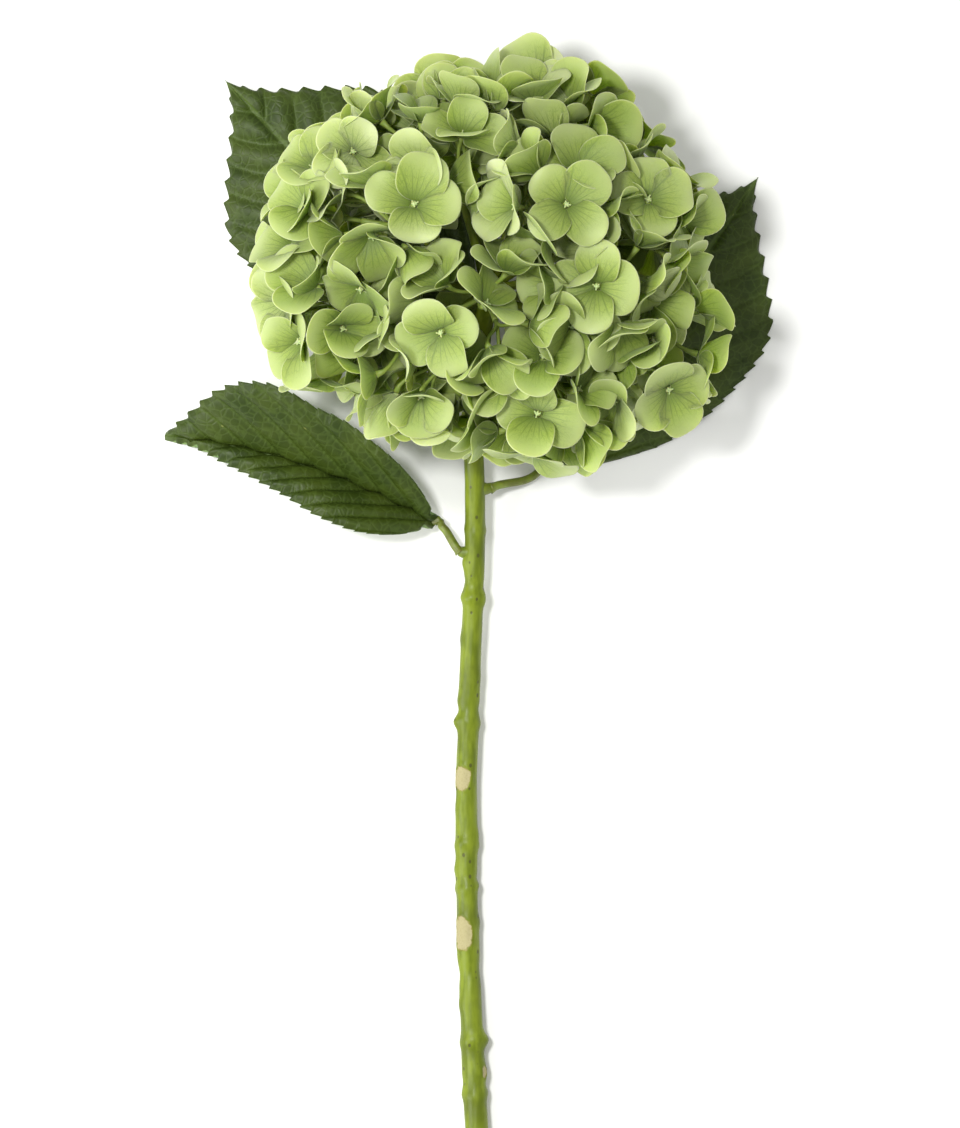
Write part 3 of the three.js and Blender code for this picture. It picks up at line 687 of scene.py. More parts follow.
def sepal_grid():
    """Spots over a sepal in rings about its middle, with each spot's ring and its angle there."""
    angles = circle(SEPAL_SIDES)
    power = SEPAL_SQUARENESS
    outline = (np.abs(np.cos(angles)) ** power + np.abs(np.sin(angles)) ** power) ** (-1 / power)
    rings = np.repeat(SEPAL_RINGS, SEPAL_SIDES)
    turns = np.tile(angles, len(SEPAL_RINGS))
    reach = rings * np.tile(outline, len(SEPAL_RINGS))
    along = (0.5 + 0.5 * reach * np.cos(turns)).clip(0, SEPAL_REACH_MOST)
    aside = reach * np.sin(turns) * (1 - BASE_NARROWING * (1 - along) ** 2)
    middle = np.array([[0.5, 0.0]])
    spots = np.concatenate([middle, np.stack([along, aside], axis=1)])
    return spots, np.concatenate([[0.0], rings]), np.concatenate([[0.0], turns])


def sepal_faces():
    """Faces of a sepal's upper and lower sheets, which share the points of the edge."""
    sides, rings = SEPAL_SIDES, len(SEPAL_RINGS)
    top = list(range(1 + rings * sides))
    below = {place: len(top) + place for place in range(1 + (rings - 1) * sides)}
    sheets = (top, [below.get(place, place) for place in top])
    faces = []
    for index, sheet in enumerate(sheets):
        found = [(sheet[0], sheet[1 + s], sheet[1 + (s + 1) % sides]) for s in range(sides)]
        for r in range(rings - 1):
            for s in range(sides):
                here = 1 + r * sides + s
                beside = 1 + r * sides + (s + 1) % sides
                found.append((sheet[here], sheet[here + sides], sheet[beside + sides], sheet[beside]))
        faces.extend(found if index == 0 else [face[::-1] for face in found])
    return faces


def sepal_bodies(head, settings):
    """The finished points of every sepal, and the values that its material reads."""
    spots, rings, turns = sepal_grid()
    rng = np.random.default_rng(settings.seed + 1)
    count = len(head.heart)
    points, normals = head.surface(head.bend, spots)
    phase = rng.uniform(0, 2 * math.pi, (count, len(WAVE_TURNS), 1))
    size = rng.uniform(*WAVE_SIZES, (count, len(WAVE_TURNS), 1)) * WAVE
    waves = sum(size[:, k] * np.sin(turn * turns + phase[:, k]) for k, turn in enumerate(WAVE_TURNS))
    waves = waves * rings ** WAVE_RISE
    roll = rng.uniform(*ROLL_SIZES, (count, 1)) * EDGE_ROLL * rings ** ROLL_RISE
    groove = GROOVE_DEPTH * np.exp(-(spots[:, 1] / GROOVE_WIDTH) ** 2) * (1 - spots[:, 0])
    waves = waves * np.sin(math.pi * spots[:, 0].clip(WAVE_BASE, 1) / 2)
    points = points + normals * (waves - roll - groove)[..., None]
    half = settings.sepal_thickness / 2 * np.sqrt(1 - rings ** THINNING_RISE)
    inner = rings < 1
    over = points + normals * half[:, None]
    under = (points - normals * half[:, None])[:, inner]
    flat = np.concatenate([spots, rings[:, None]], axis=1)
    flat = np.concatenate([flat, flat[inner]])
    body = np.concatenate([over, under], axis=1)
    dip = (body[..., 2] - FLOOR_GAP / 2).clip(-FLOOR_DIP, 0)
    body[..., 2] = np.maximum(body[..., 2], FLOOR_GAP / 2 + FLOOR_GIVE * dip)
    return body, flat


# ---- Florets -------------------------------------------------------------------------------------

PEDICEL_STEPS = 9
SPLIT_SHARE = 0.42  # where a cyme's stalk divides, as a share of the way to its florets
HEART_SIDES = 20
HEART_LOBES = 4
STAMEN_LENGTH = 1.5 * MM
STAMEN_RADIUS = 0.28 * MM
STAMEN_COUNT, STAMEN_SIDES = 3, 6
STAMEN_TURN = 0.6  # the angle from the first sepal to the first stamen
STAMEN_START = 0.2  # where a stamen starts, as a share of its length
STAMEN_WIDTHS = (1, 0.85, 0.8, 1.25, 0.6)  # along it, as shares of its radius
HEART_LOBING = 0.22  # how far its lobes stand out
HEART_PROFILE = ((0.75, -0.9), (1.0, -0.2), (0.95, 0.25), (0.7, 0.6), (0.35, 0.78))  # reach and height
HEART_ENDS = (-0.95, 0.66)
HEART_SEAT = 0.9  # how far above the sepals' start a heart's middle is, in its own radii
STALK_WIDTHS = (1.3, 1, 1, 1, 1, 1, 1.15, 1.3)
PEDICEL_FOOT, PEDICEL_CUP = 0.35, 1.3  # how much thicker a pedicel is at its start and under the sepals
STALK_SIDES = 8
STALK_FLAT = (0.3, 0.0, 0.0)
FLORET_TONE = 0.72  # the share of a sepal's tone that its whole floret has


def heart_body(skin, centre, facing, turn, radius, tone):
    """A floret's small star: a lobed dome with a few short stamens lying round it."""
    first, second = across_axis(facing)
    angles = circle(HEART_SIDES)
    lobed = 1 + HEART_LOBING * np.cos(HEART_LOBES * (angles - turn))
    ring = np.cos(angles)[:, None] * first + np.sin(angles)[:, None] * second
    points = []
    for share, height in HEART_PROFILE:
        points.append(centre + ring * (radius * share * lobed)[:, None] + facing * radius * height)
    points.extend(centre[None] + facing * radius * end for end in HEART_ENDS)
    skin.add(np.concatenate(points), tube_faces(len(HEART_PROFILE), HEART_SIDES), 1, tone=tone)
    for k in range(STAMEN_COUNT):
        angle = turn + STAMEN_TURN + 2 * math.pi * k / STAMEN_COUNT
        out = math.cos(angle) * first + math.sin(angle) * second
        reach = np.linspace(STAMEN_START, 1, len(STAMEN_WIDTHS))[:, None]
        line = centre + facing * radius / 2 + reach * STAMEN_LENGTH * (out + facing / 4)
        skin.add(*tube(line, STAMEN_RADIUS * np.array(STAMEN_WIDTHS), STAMEN_SIDES), 1, tone=tone)


def pedicel(skin, split, heading, heart, facing, settings):
    """The thin stalk of a floret, swelling where it holds the sepals."""
    reach = np.linalg.norm(heart - split) / 3
    foot = heart - facing * settings.sepal_thickness
    line = bezier(split, split + heading * reach, foot - facing * reach, foot, PEDICEL_STEPS)
    share = np.linspace(0, 1, PEDICEL_STEPS)
    radii = settings.pedicel_radius * (1 + PEDICEL_FOOT * (1 - share) ** 2 + PEDICEL_CUP * share ** 8)
    skin.add(*tube(line, radii, STALK_SIDES), 2, flat=STALK_FLAT)


def florets_of(cyme, head, body, flat, faces, settings, materials):
    """One cyme as a finished piece: stalk, pedicels, hearts and sepals."""
    skin = Skin()
    hearts = np.array([head.heart[row * SEPALS] + head.facing[row * SEPALS] * head.lift[row]
                       for row in cyme["rows"]])
    start = np.array(cyme["start"])
    split = blend(start, hearts.mean(axis=0), SPLIT_SHARE)
    heading = unit(hearts.mean(axis=0) - start)
    line = curve_through([start, blend(start, split, 0.5), split], len(STALK_WIDTHS))
    skin.add(*tube(line, settings.stalk_radius * np.array(STALK_WIDTHS), STALK_SIDES), 2, flat=STALK_FLAT)
    rng = np.random.default_rng(cyme["rows"][0])
    for row, heart in zip(cyme["rows"], hearts):
        facing = head.facing[row * SEPALS]
        tone = rng.uniform(-1, 1)
        pedicel(skin, split, heading, heart, facing, settings)
        centre = heart + facing * HEART_SEAT * settings.heart_radius
        heart_body(skin, centre, facing, head.angle[row * SEPALS], settings.heart_radius, tone)
        for k in range(SEPALS):
            own_tone = blend(rng.uniform(-1, 1), tone, FLORET_TONE)
            skin.add(body[row * SEPALS + k], faces, 0, flat=flat, tone=own_tone)
    return skin.make(cyme["node"].replace("cyme", "florets"), materials)


# ---- Leaves --------------------------------------------------------------------------------------

LEAF_ROWS = 220
LEAF_COLUMNS = 26  # on each side of the midrib
COLUMN_SPREAD = 0.9  # where 1 spaces the columns evenly
VEIN_SLANT = 0.4  # how far a side vein runs towards the tip, as a share of the blade's length
VEIN_BOW = 1.2
VEIN_OFFSET = 0.35  # how far the veins of one half are shifted against those of the other
FADE_RIB, FADE_EDGE, FADE_BASE, FADE_TIP = 0.08, 0.12, 0.04, 0.12  # where veins fade, as shares of the blade
TOOTH_CREST = 0.78  # where a tooth is highest, as a share of its length along the edge
TOOTH_RISE, TOOTH_FALL = 1.3, 0.8  # how its two sides are bent, where 1 is straight
TEETH_REACH = 9  # the larger this is, the closer to the edge the teeth begin
TEETH_FADE = 6 * MM  # a half blade narrower than this has smaller teeth
VEIN_WIDTH, VEIN_LINE = 0.2, 0.09  # of the groove and of the paint, as shares of half the space between veins
GROOVE_FADE, LINE_FADE = 0.6, 0.5  # how much weaker the groove and the paint are at the edge
RIPPLE, RIPPLE_ALONG, RIPPLE_ASIDE, RIPPLE_RISE = 0.9 * MM, 9, 4, 1.5
RIB_HOLLOW, RIB_HOLLOW_WIDTH = 1.2 * MM, 2.2 * MM  # the valley along the midrib
EDGE_DROOP, DROOP_RISE = 2.2 * MM, 3
BLADE_REST = 0.7 * MM  # the least height of a blade above the floor
EDGE_THINNING, THINNING_START = 0.55, 6
RIB_END, RIB_TAPER = 0.2 * MM, 0.7
RIB_DROP = 1.02  # how far the rib hangs below the blade, in its own radii
RIB_STEP = 6  # the rib has a ring at every sixth row of the blade
PETIOLE_POINTS, PETIOLE_SIDES = 30, 12
PETIOLE_FOOT = (1.35, 1.25, 1.1)  # how much thicker a petiole is at its start
LEAF_FOLD = 0.5  # a section of the frame with a sharper corner than this belongs to the blade
SMOOTHED_ROWS = 9
# How much each half of a blade is widened or narrowed at these shares of the way from its base to its tip
FULLNESS_SHARES = (0.0, 0.1, 0.25, 0.5, 0.68, 0.83, 1.0)
FULLNESS = {("leaf_lower_left", "left"): (1.3, 1.3, 1.12, 0.6, 0.42, 0.34, 0.3),
            ("leaf_lower_left", "right"): (1.2, 1.25, 1.26, 1.06, 1.18, 1.34, 1.3)}
FULLNESS_OF_OTHERS = (1.0, 1.04, 1.1, 1.0, 0.98, 0.82, 0.6)


def read_leaf(node):
    """The sections of a plain leaf: the line of its stalk, and the midrib and both edges of its blade."""
    points, links = corners_of(node)
    far = layers(links, {0})[-1]
    end = layers(links, {far[0]})[-1]
    rings = layers(links, end)
    if any(len(ring) != LEAF_SIDES for ring in rings):
        raise ValueError(f"{node} isn't made of sections of {LEAF_SIDES} corners")
    stem_points, _ = corners_of("stem")
    ends = [points[rings[i]].mean(axis=0) for i in (0, -1)]
    from_stem = [np.linalg.norm(stem_points - place, axis=1).min() for place in ends]
    if from_stem[1] < from_stem[0]:
        rings.reverse()
    sections = [in_order(points, links, ring) for ring in rings]
    stalk, midrib, left, right = [], [], [], []
    for section in sections:
        sharp = sharpness(section)
        corner = int(np.argmax(sharp + np.roll(sharp, -LEAF_SIDES // 2)))
        section = np.roll(section, -corner, axis=0)
        if sharp.max() < LEAF_FOLD:
            stalk.append(section.mean(axis=0))
            continue
        middle = (section[2] + section[6]) / 2
        along = middle - (midrib[-1] if midrib else stalk[-1])
        is_left = np.dot(np.cross((0, 0, 1), along), section[0] - section[4]) > 0
        midrib.append(middle)
        left.append(section[0] if is_left else section[4])
        right.append(section[4] if is_left else section[0])
    lines = {"stalk": stalk, "midrib": midrib, "left": left, "right": right}
    return {name: np.array(line) for name, line in lines.items()}


def in_order(points, links, ring):
    """A section's corners in the order in which they are joined."""
    order = [ring[0]]
    while len(order) < len(ring):
        last = order[-1]
        joined = [i for i in sorted(links[last]) if i in ring and i not in order]
        order.append(min(joined, key=lambda i: np.linalg.norm(points[i] - points[last])))
    return points[order]


def sharpness(section):
    """How far each corner of a section is from a straight line: 0 is straight, 2 is folded back."""
    before = unit(section - np.roll(section, 1, axis=0))
    after = unit(np.roll(section, -1, axis=0) - section)
    return 1 - np.sum(before * after, axis=1)


def leaf_piece(node, settings, materials):
    """One leaf as a finished piece: its blade, made half by half, and its petiole with the rib."""
    plan = read_leaf(node)
    skin = Skin()
    shares = np.linspace(0, 1, LEAF_ROWS + 1)
    midrib = curve_through(np.concatenate([plan["midrib"][:-2:3], plan["midrib"][-1:]]), LEAF_ROWS + 1)
    heading = unit(np.gradient(midrib, axis=0))
    long = np.linalg.norm(np.diff(midrib, axis=0), axis=1).sum()
    known = np.linspace(0, 1, len(plan["midrib"]))
    grid, flat = [], []
    seed = sum(map(ord, node))
    for index, side in enumerate(("left", "right")):
        out = plan[side] - plan["midrib"]
        tips = slice(1, None, 2)  # every other section of the frame ends in the tip of a tooth
        wide = np.linalg.norm(out[tips], axis=1)
        width = np.interp(shares, np.concatenate(([0], known[tips], [1])), np.concatenate(([0], wide, [0])))
        ends = SMOOTHED_ROWS // 2
        width[ends:-ends] = np.convolve(width, np.ones(SMOOTHED_ROWS) / SMOOTHED_ROWS, "valid")
        fullness = FULLNESS.get((node, side), FULLNESS_OF_OTHERS)
        width *= np.interp(shares, FULLNESS_SHARES, fullness)
        ahead = unit(np.gradient(plan["midrib"], axis=0))
        towards = unit(out - np.sum(out * ahead, axis=1, keepdims=True) * ahead)
        towards[-1] = towards[-2]
        towards = unit(np.stack([np.interp(shares, known, towards[:, axis]) for axis in range(3)], axis=1))
        normal = unit(np.cross(heading, towards)) * (1 if index else -1)
        normal = normal * np.sign(np.sum(normal * (0, 0, 1), axis=1).sum() or 1)
        sheet, marks = leaf_half(midrib, heading, towards, normal, width, long, seed + index, settings)
        grid.append(sheet)
        flat.append(marks)
    left, right = grid
    halves = ((left[0], right[0]), (left[1], right[1]), flat)
    over, under, marks = (np.concatenate([a[:, ::-1], b[:, 1:]], axis=1) for a, b in halves)
    add_sheets(skin, over, under, marks)
    rib_radii = settings.midrib_radius * (1 - shares) ** RIB_TAPER + RIB_END
    rib = midrib + unit(left[1][:, 0] - left[0][:, 0]) * (rib_radii * RIB_DROP)[:, None]
    stalk = curve_through(np.concatenate([plan["stalk"], rib[:1]]), PETIOLE_POINTS)
    whole = np.concatenate([stalk[:-1], rib[::RIB_STEP]])
    petiole_radii = np.linspace(settings.petiole_radius, rib_radii[0], PETIOLE_POINTS)
    thick = np.concatenate([petiole_radii[:-1], rib_radii[::RIB_STEP]])
    thick[:len(PETIOLE_FOOT)] *= PETIOLE_FOOT
    skin.add(*tube(whole, thick, PETIOLE_SIDES), 1)
    return skin.make(node.replace("leaf", "blade"), materials)


def leaf_half(midrib, heading, towards, normal, width, long, seed, settings):
    """The upper and lower points of half a blade, in rows from base to tip and columns from the midrib."""
    share = np.linspace(0, 1, len(midrib))[:, None]
    aside = np.linspace(0, 1, LEAF_COLUMNS + 1)[None, :] ** COLUMN_SPREAD
    teeth = share * settings.teeth
    bite = teeth % 1.0
    rise = (bite / TOOTH_CREST) ** TOOTH_RISE
    fall = 1 - ((bite - TOOTH_CREST).clip(0) / (1 - TOOTH_CREST)) ** TOOTH_FALL
    saw = np.where(bite < TOOTH_CREST, rise, fall)
    toothed = aside ** TEETH_REACH * np.clip(width[:, None] / TEETH_FADE, 0, 1)
    reach = width[:, None] * aside - settings.tooth_depth * (1 - saw) * toothed
    lean = settings.tooth_lean * saw * toothed
    flow = share - VEIN_SLANT * aside ** VEIN_BOW * np.clip(width[:, None] / width.max(), 0, 1)
    cell = flow * settings.side_veins + VEIN_OFFSET * (seed % 2)
    from_vein = np.abs(cell - np.round(cell)) * 2
    strength = smooth(aside / FADE_RIB) * smooth((1 - aside) / FADE_EDGE)
    strength = strength * smooth(share / FADE_BASE) * smooth((1 - share) / FADE_TIP)
    groove = -settings.vein_depth * np.exp(-(from_vein / VEIN_WIDTH) ** 2)
    groove = groove * strength * (1 - GROOVE_FADE * aside)
    quilt = settings.quilting * (1 - (1 - from_vein) ** 2) * strength
    places = np.stack(np.broadcast_arrays(share * RIPPLE_ALONG, aside * RIPPLE_ASIDE), axis=-1)
    ripple = RIPPLE * unevenness(seed, places) * aside ** RIPPLE_RISE
    hollow = RIB_HOLLOW * (1 - np.exp(-((aside * width[:, None]) / RIB_HOLLOW_WIDTH) ** 2))
    height = groove + quilt + ripple + hollow - EDGE_DROOP * aside ** DROOP_RISE
    points = (midrib[:, None] + towards[:, None] * reach[..., None] + heading[:, None] * lean[..., None]
              + normal[:, None] * height[..., None])
    points[..., 2] = np.maximum(points[..., 2], BLADE_REST)
    thick = settings.thickness * (1 - EDGE_THINNING * aside ** THINNING_START)
    under = points - normal[:, None] * np.broadcast_to(thick, reach.shape)[..., None]
    veins = np.exp(-(from_vein / VEIN_LINE) ** 2) * strength * (1 - LINE_FADE * aside)
    across = aside * width[:, None] * (1 if seed % 2 else -1)
    marks = np.stack(np.broadcast_arrays(share * long, across, veins), axis=-1)
    return (points, under), marks


def add_sheets(skin, over, under, marks):
    """A closed blade from its upper and lower sheets, which are joined by a thin edge all round."""
    rows, columns = over.shape[:2]
    size = rows * columns
    place = np.arange(size).reshape(rows, columns)
    faces = []
    for r in range(rows - 1):
        for c in range(columns - 1):
            a, b, d, e = place[r, c], place[r, c + 1], place[r + 1, c + 1], place[r + 1, c]
            faces.append((a, b, d, e))
            faces.append((e + size, d + size, b + size, a + size))
    edge = [*place[0], *place[1:, -1], *place[-1, -2::-1], *place[-2:0:-1, 0]]
    for a, b in zip(edge, edge[1:] + edge[:1]):
        faces.append((b, a, a + size, b + size))
    points = np.concatenate([over.reshape(-1, 3), under.reshape(-1, 3)])
    marks = marks.reshape(-1, 3)
    tone = np.concatenate([np.ones(size), np.zeros(size)])
    skin.add(points, faces, 0, flat=np.concatenate([marks, marks]), tone=tone)


# ---- The stem ------------------------------------------------------------------------------------

STEM_SIDES = 44
STEM_PITCH = 0.85 * MM
STEM_SLICES, STEM_LEVELS = 60, 40  # sections read, and points taken from the curve through them
STEM_FIT = 5  # the degree of the curve fitted to the plain stem's sections
STEM_STRAIGHT = 0.86  # the share of the way to the fork for which sections are read
CUT_CLEAR = 8 * MM  # sections are read from this far above the cut end
SKEW, SKEW_TURN = 0.3, 90  # how far one side of a growth ring stands out more, and how this side turns
RING_TILT = 1.1 * MM
BUMP_STRETCH = 1.25
SCAR_LIP, SCAR_LIP_PLACE, SCAR_LIP_WIDTH = 0.28 * MM, 1.12, 0.16  # the raised bark round a scar
SCAR_SINK, SCAR_EDGE, SCAR_SLOPE = 0.3 * MM, 1.05, 0.2
SCAR_MARK = 1.5  # what the material reads at the middle of a scar, falling to 0 outside it
CUT_MARK, CUT_RIM_MARK = 2.0, 1.7  # and on the cut end
PITH_SHARE, BARK_SHARE = 0.55, 0.9  # rings on the cut end, as shares of its radius
PITH_DEPTH, HOLLOW_DEPTH = 0.25 * MM, 0.4 * MM  # how far it sinks in its middle
CUT_STRETCH = 9 * MM  # the slant of the cut fades over this much of the stem
STEM_REST = 0.05 * MM
COARSE, FINE = (160, 2.2, 0.16 * MM), (420, 6, 0.06 * MM)  # unevenness: along, round, and height
KNOT_LENGTH, KNOT_RADIUS = 4.4 * MM, 4.6 * MM
KNOT_POINTS, KNOT_SIDES, KNOT_ROUNDNESS = 9, 20, 1.02
RAY_POINTS, RAY_SIDES = 14, 12
RAY_SWELL, RAY_RISE = 0.7 * MM, 10  # how much thicker a ray ends, and how late this begins
NUB_RADII, NUB_SIDES = np.linspace(2.9, 1.75, 9) * MM, 14
NUB_OVERLAP = 0.6 * MM  # a nub ends this far past the start of its leaf
NUB_SHARES = (0.3, 0.8)  # the way from the stem's middle to a leaf's foot, at which a nub is held
RAY_FLAT, NUB_FLAT = (0.35, 0.0, 0.0), (0.1, 0.0, 0.0)
# In millimetres and degrees.
# Growth rings: distance from the cut end, how far they stand out, and how long a stretch they take
GROWTH_RINGS = ((55, 0.65, 2.2), (59, -0.25, 2.0), (75, 0.75, 2.4), (100, -0.5, 4.0), (131, 0.6, 1.8),
                (134.5, -0.25, 1.6), (146, 0.55, 1.9), (192, 0.6, 2.0), (196, -0.3, 2.0), (238, 0.75, 2.1),
                (242, -0.35, 2.2), (262, 0.3, 1.6))
# Small bumps: distance from the cut end, degrees round from the top towards +X, height and width
BUMPS = ((63, 62, 0.9, 4.2), (74, 80, 1.5, 1.9), (88, -70, 0.5, 2.2), (118, 85, 0.5, 2.0),
         (137, -85, 0.7, 2.4), (150, 70, 0.6, 2.0), (191, -80, 1.4, 1.7), (199, -85, 0.5, 2.4),
         (222, -80, 0.45, 2.2), (236, 78, 0.8, 1.8), (250, -75, 0.9, 2.0), (208, 60, 0.4, 2.6),
         (160, -60, 0.4, 2.6), (30, -70, 0.5, 2.4), (18, 60, 0.5, 2.6))
# Healed leaf scars: distance from the cut end, degrees round from the top, length and width
SCARS = ((171, -38, 8.7, 7.6), (114, -38, 12.0, 8.2), (63, 58, 5.0, 2.2))


def stem_line(fork):
    """The middle line of the stem from its cut end to the fork, read from sections of the plain stem."""
    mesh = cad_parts["stem"].data
    places = np.array([vertex.co for vertex in mesh.vertices])
    edges = places[np.array([edge.vertices[:] for edge in mesh.edges])]
    low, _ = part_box("stem")
    start, stop = low[1], blend(low[1], fork[1], STEM_STRAIGHT)
    middles = []
    for level in np.linspace(start + CUT_CLEAR, stop, STEM_SLICES):
        a, b = edges[:, 0], edges[:, 1]
        crossing = (a[:, 1] - level) * (b[:, 1] - level) < 0
        a, b = a[crossing], b[crossing]
        hits = a + (b - a) * ((level - a[:, 1]) / (b[:, 1] - a[:, 1]))[:, None]
        middles.append(np.median(hits, axis=0))
    middles = np.array(middles)
    fits = [np.polynomial.Polynomial.fit(middles[:, 1], middles[:, axis], STEM_FIT) for axis in (0, 2)]
    levels = np.linspace(start, stop, STEM_LEVELS)
    line = np.stack([fits[0](levels), levels, fits[1](levels)], axis=1)
    line = np.concatenate([line, [blend(line[-1], fork, 0.5), fork]])
    count = int(np.linalg.norm(np.diff(line, axis=0), axis=1).sum() / STEM_PITCH)
    return curve_through(line, count)


def stem_radii(from_cut, round_top, settings):
    """The stem's radius at distances from the cut end and angles round from the top."""
    plain = blend(settings.cut_radius, settings.top_radius, from_cut / from_cut.max())
    radius = np.broadcast_to(plain, round_top.shape).copy()
    skew = 1 + SKEW * np.sin(round_top + from_cut * SKEW_TURN)
    for place, swell, span in GROWTH_RINGS:
        away = (from_cut - place * MM - RING_TILT * np.sin(round_top + place)) / (span * MM)
        radius += swell * MM * np.exp(-away ** 2) * skew
    for place, turn, height, span in BUMPS:
        around = turned_from(round_top, turn)
        away = np.hypot((from_cut - place * MM) / BUMP_STRETCH, around * plain) / (span * MM)
        radius += height * MM * np.exp(-away ** 2)
    for place, turn, tall, wide in SCARS:
        away = scar_distance(from_cut, round_top, plain, place, turn, tall, wide)
        radius += SCAR_LIP * np.exp(-((away - SCAR_LIP_PLACE) / SCAR_LIP_WIDTH) ** 2)
        radius -= SCAR_SINK * smooth((SCAR_EDGE - away) / SCAR_SLOPE)
    for seed, (along, around, height) in ((5, COARSE), (6, FINE)):
        turned = (np.cos(round_top) * around, np.sin(round_top) * around)
        places = np.stack(np.broadcast_arrays(from_cut * along, *turned), axis=-1)
        radius = radius + height * unevenness(seed, places)
    return radius


def turned_from(round_top, turn):
    """Angles round the stem measured from one of them, given in degrees."""
    return (round_top - math.radians(turn) + math.pi) % (2 * math.pi) - math.pi


def scar_distance(from_cut, round_top, plain, place, turn, tall, wide):
    """How far each point is from the middle of a scar, where 1 is the scar's edge."""
    around = turned_from(round_top, turn)
    return np.hypot((from_cut - place * MM) / (tall * MM / 2), around * plain / (wide * MM / 2))


def stem_piece(settings, materials):
    """The stem as a finished piece, from its slanted cut end to the knot, with its rays and nubs."""
    fork = fork_place()
    line = stem_line(fork)
    skin = Skin()
    heading, _, _ = carried_frames(line)
    side = unit(np.cross(heading, (0, 0, 1)))
    top = np.cross(side, heading)
    from_cut = np.arange(len(line))[:, None] * np.linalg.norm(line[1] - line[0])
    angles = circle(STEM_SIDES)[None, :]
    radii = stem_radii(from_cut, np.broadcast_to(angles, (len(line), STEM_SIDES)), settings)
    ring = np.cos(angles)[..., None] * top[:, None] + np.sin(angles)[..., None] * side[:, None]
    points = line[:, None] + ring * radii[..., None]
    share = np.clip(1 - from_cut / CUT_STRETCH, 0, 1)
    back = settings.slant * settings.cut_radius * (np.sin(angles) + 1) * share
    points += heading[:, None] * back[..., None]
    points[..., 2] = np.maximum(points[..., 2], STEM_REST)
    flat = np.stack(np.broadcast_arrays(from_cut, angles, np.zeros_like(radii)), axis=-1).reshape(-1, 3)
    marks = np.zeros((len(line), STEM_SIDES))
    plain = blend(settings.cut_radius, settings.top_radius, from_cut / from_cut.max())
    for scar in SCARS:
        away = scar_distance(from_cut, angles, plain, *scar)
        marks = np.maximum(marks, SCAR_MARK - away)
    marks = marks.reshape(-1)
    centre = points[0].mean(axis=0)
    inner = blend(centre, points[0], PITH_SHARE) + heading[0] * PITH_DEPTH
    rings = np.concatenate([inner[None], blend(centre, points[:1], BARK_SHARE), points])
    ends = np.stack([inner.mean(axis=0) + heading[0] * HOLLOW_DEPTH, points[-1].mean(axis=0)])
    cut = np.repeat([CUT_MARK, CUT_RIM_MARK], STEM_SIDES)
    whole_marks = np.concatenate([cut, marks, [CUT_MARK, 0.0]])
    whole_flat = np.concatenate([flat[:STEM_SIDES], flat[:STEM_SIDES], flat, flat[:1], flat[-1:]])
    faces = [face[::-1] for face in tube_faces(len(rings), STEM_SIDES)]
    skin.add(np.concatenate([rings.reshape(-1, 3), ends]), faces, 0, flat=whole_flat, tone=whole_marks)
    add_rays(skin, fork, heading[-1], settings)
    add_nubs(skin, line)
    return skin.make("stalk", materials)


def add_rays(skin, fork, up, settings):
    """The branches from the fork to each lobe, whose three stalks stand round the end of its ray."""
    lobes = {}
    for node in CYMES:
        lobes.setdefault(node[:LOBE_NAME_LENGTH], []).append(read_cyme(node, fork))
    knot = np.linspace(-1, 1, KNOT_POINTS)
    radii = KNOT_RADIUS * np.sqrt(KNOT_ROUNDNESS - knot ** 2)
    skin.add(*tube(fork + up * knot[:, None] * KNOT_LENGTH, radii, KNOT_SIDES), 1)
    for group in lobes.values():
        end = np.mean([cyme["start"] for cyme in group], axis=0)
        hearts = np.mean([floret["heart"] for cyme in group for floret in cyme["florets"]], axis=0)
        reach = np.linalg.norm(end - fork) / 3
        line = bezier(fork, fork + up * reach / 2, end - unit(hearts - fork) * reach, end, RAY_POINTS)
        share = np.linspace(0, 1, RAY_POINTS)
        radii = blend(settings.ray_radius, settings.ray_end_radius, share) + RAY_SWELL * share ** RAY_RISE
        skin.add(*tube(line, radii, RAY_SIDES), 1, flat=RAY_FLAT)


def add_nubs(skin, line):
    """The short swellings from which the leaves grow."""
    for name in LEAVES:
        start = read_leaf(name)["stalk"][:3]
        heading = unit(start[0] - start[1])
        nearest = line[np.argmin(np.linalg.norm(line - start[0], axis=1))]
        knots = [blend(nearest, start[0], share) for share in NUB_SHARES]
        knots.append(start[0] - heading * NUB_OVERLAP)
        nub = curve_through(knots, len(NUB_RADII))
        skin.add(*tube(nub, NUB_RADII, NUB_SIDES), 1, flat=NUB_FLAT)


# ---- Materials -----------------------------------------------------------------------------------


class Wire:
    """A socket that can be used in sums: each sum adds a Math node and gives its result."""

    def __init__(self, paint, socket):
        self.paint = paint
        self.socket = socket

    def __add__(self, other):
        return self.paint.maths("ADD", self, other)

    __radd__ = __add__

    def __sub__(self, other):
        return self.paint.maths("SUBTRACT", self, other)

    def __rsub__(self, other):
        return self.paint.maths("SUBTRACT", other, self)

    def __mul__(self, other):
        return self.paint.maths("MULTIPLY", self, other)

    __rmul__ = __mul__


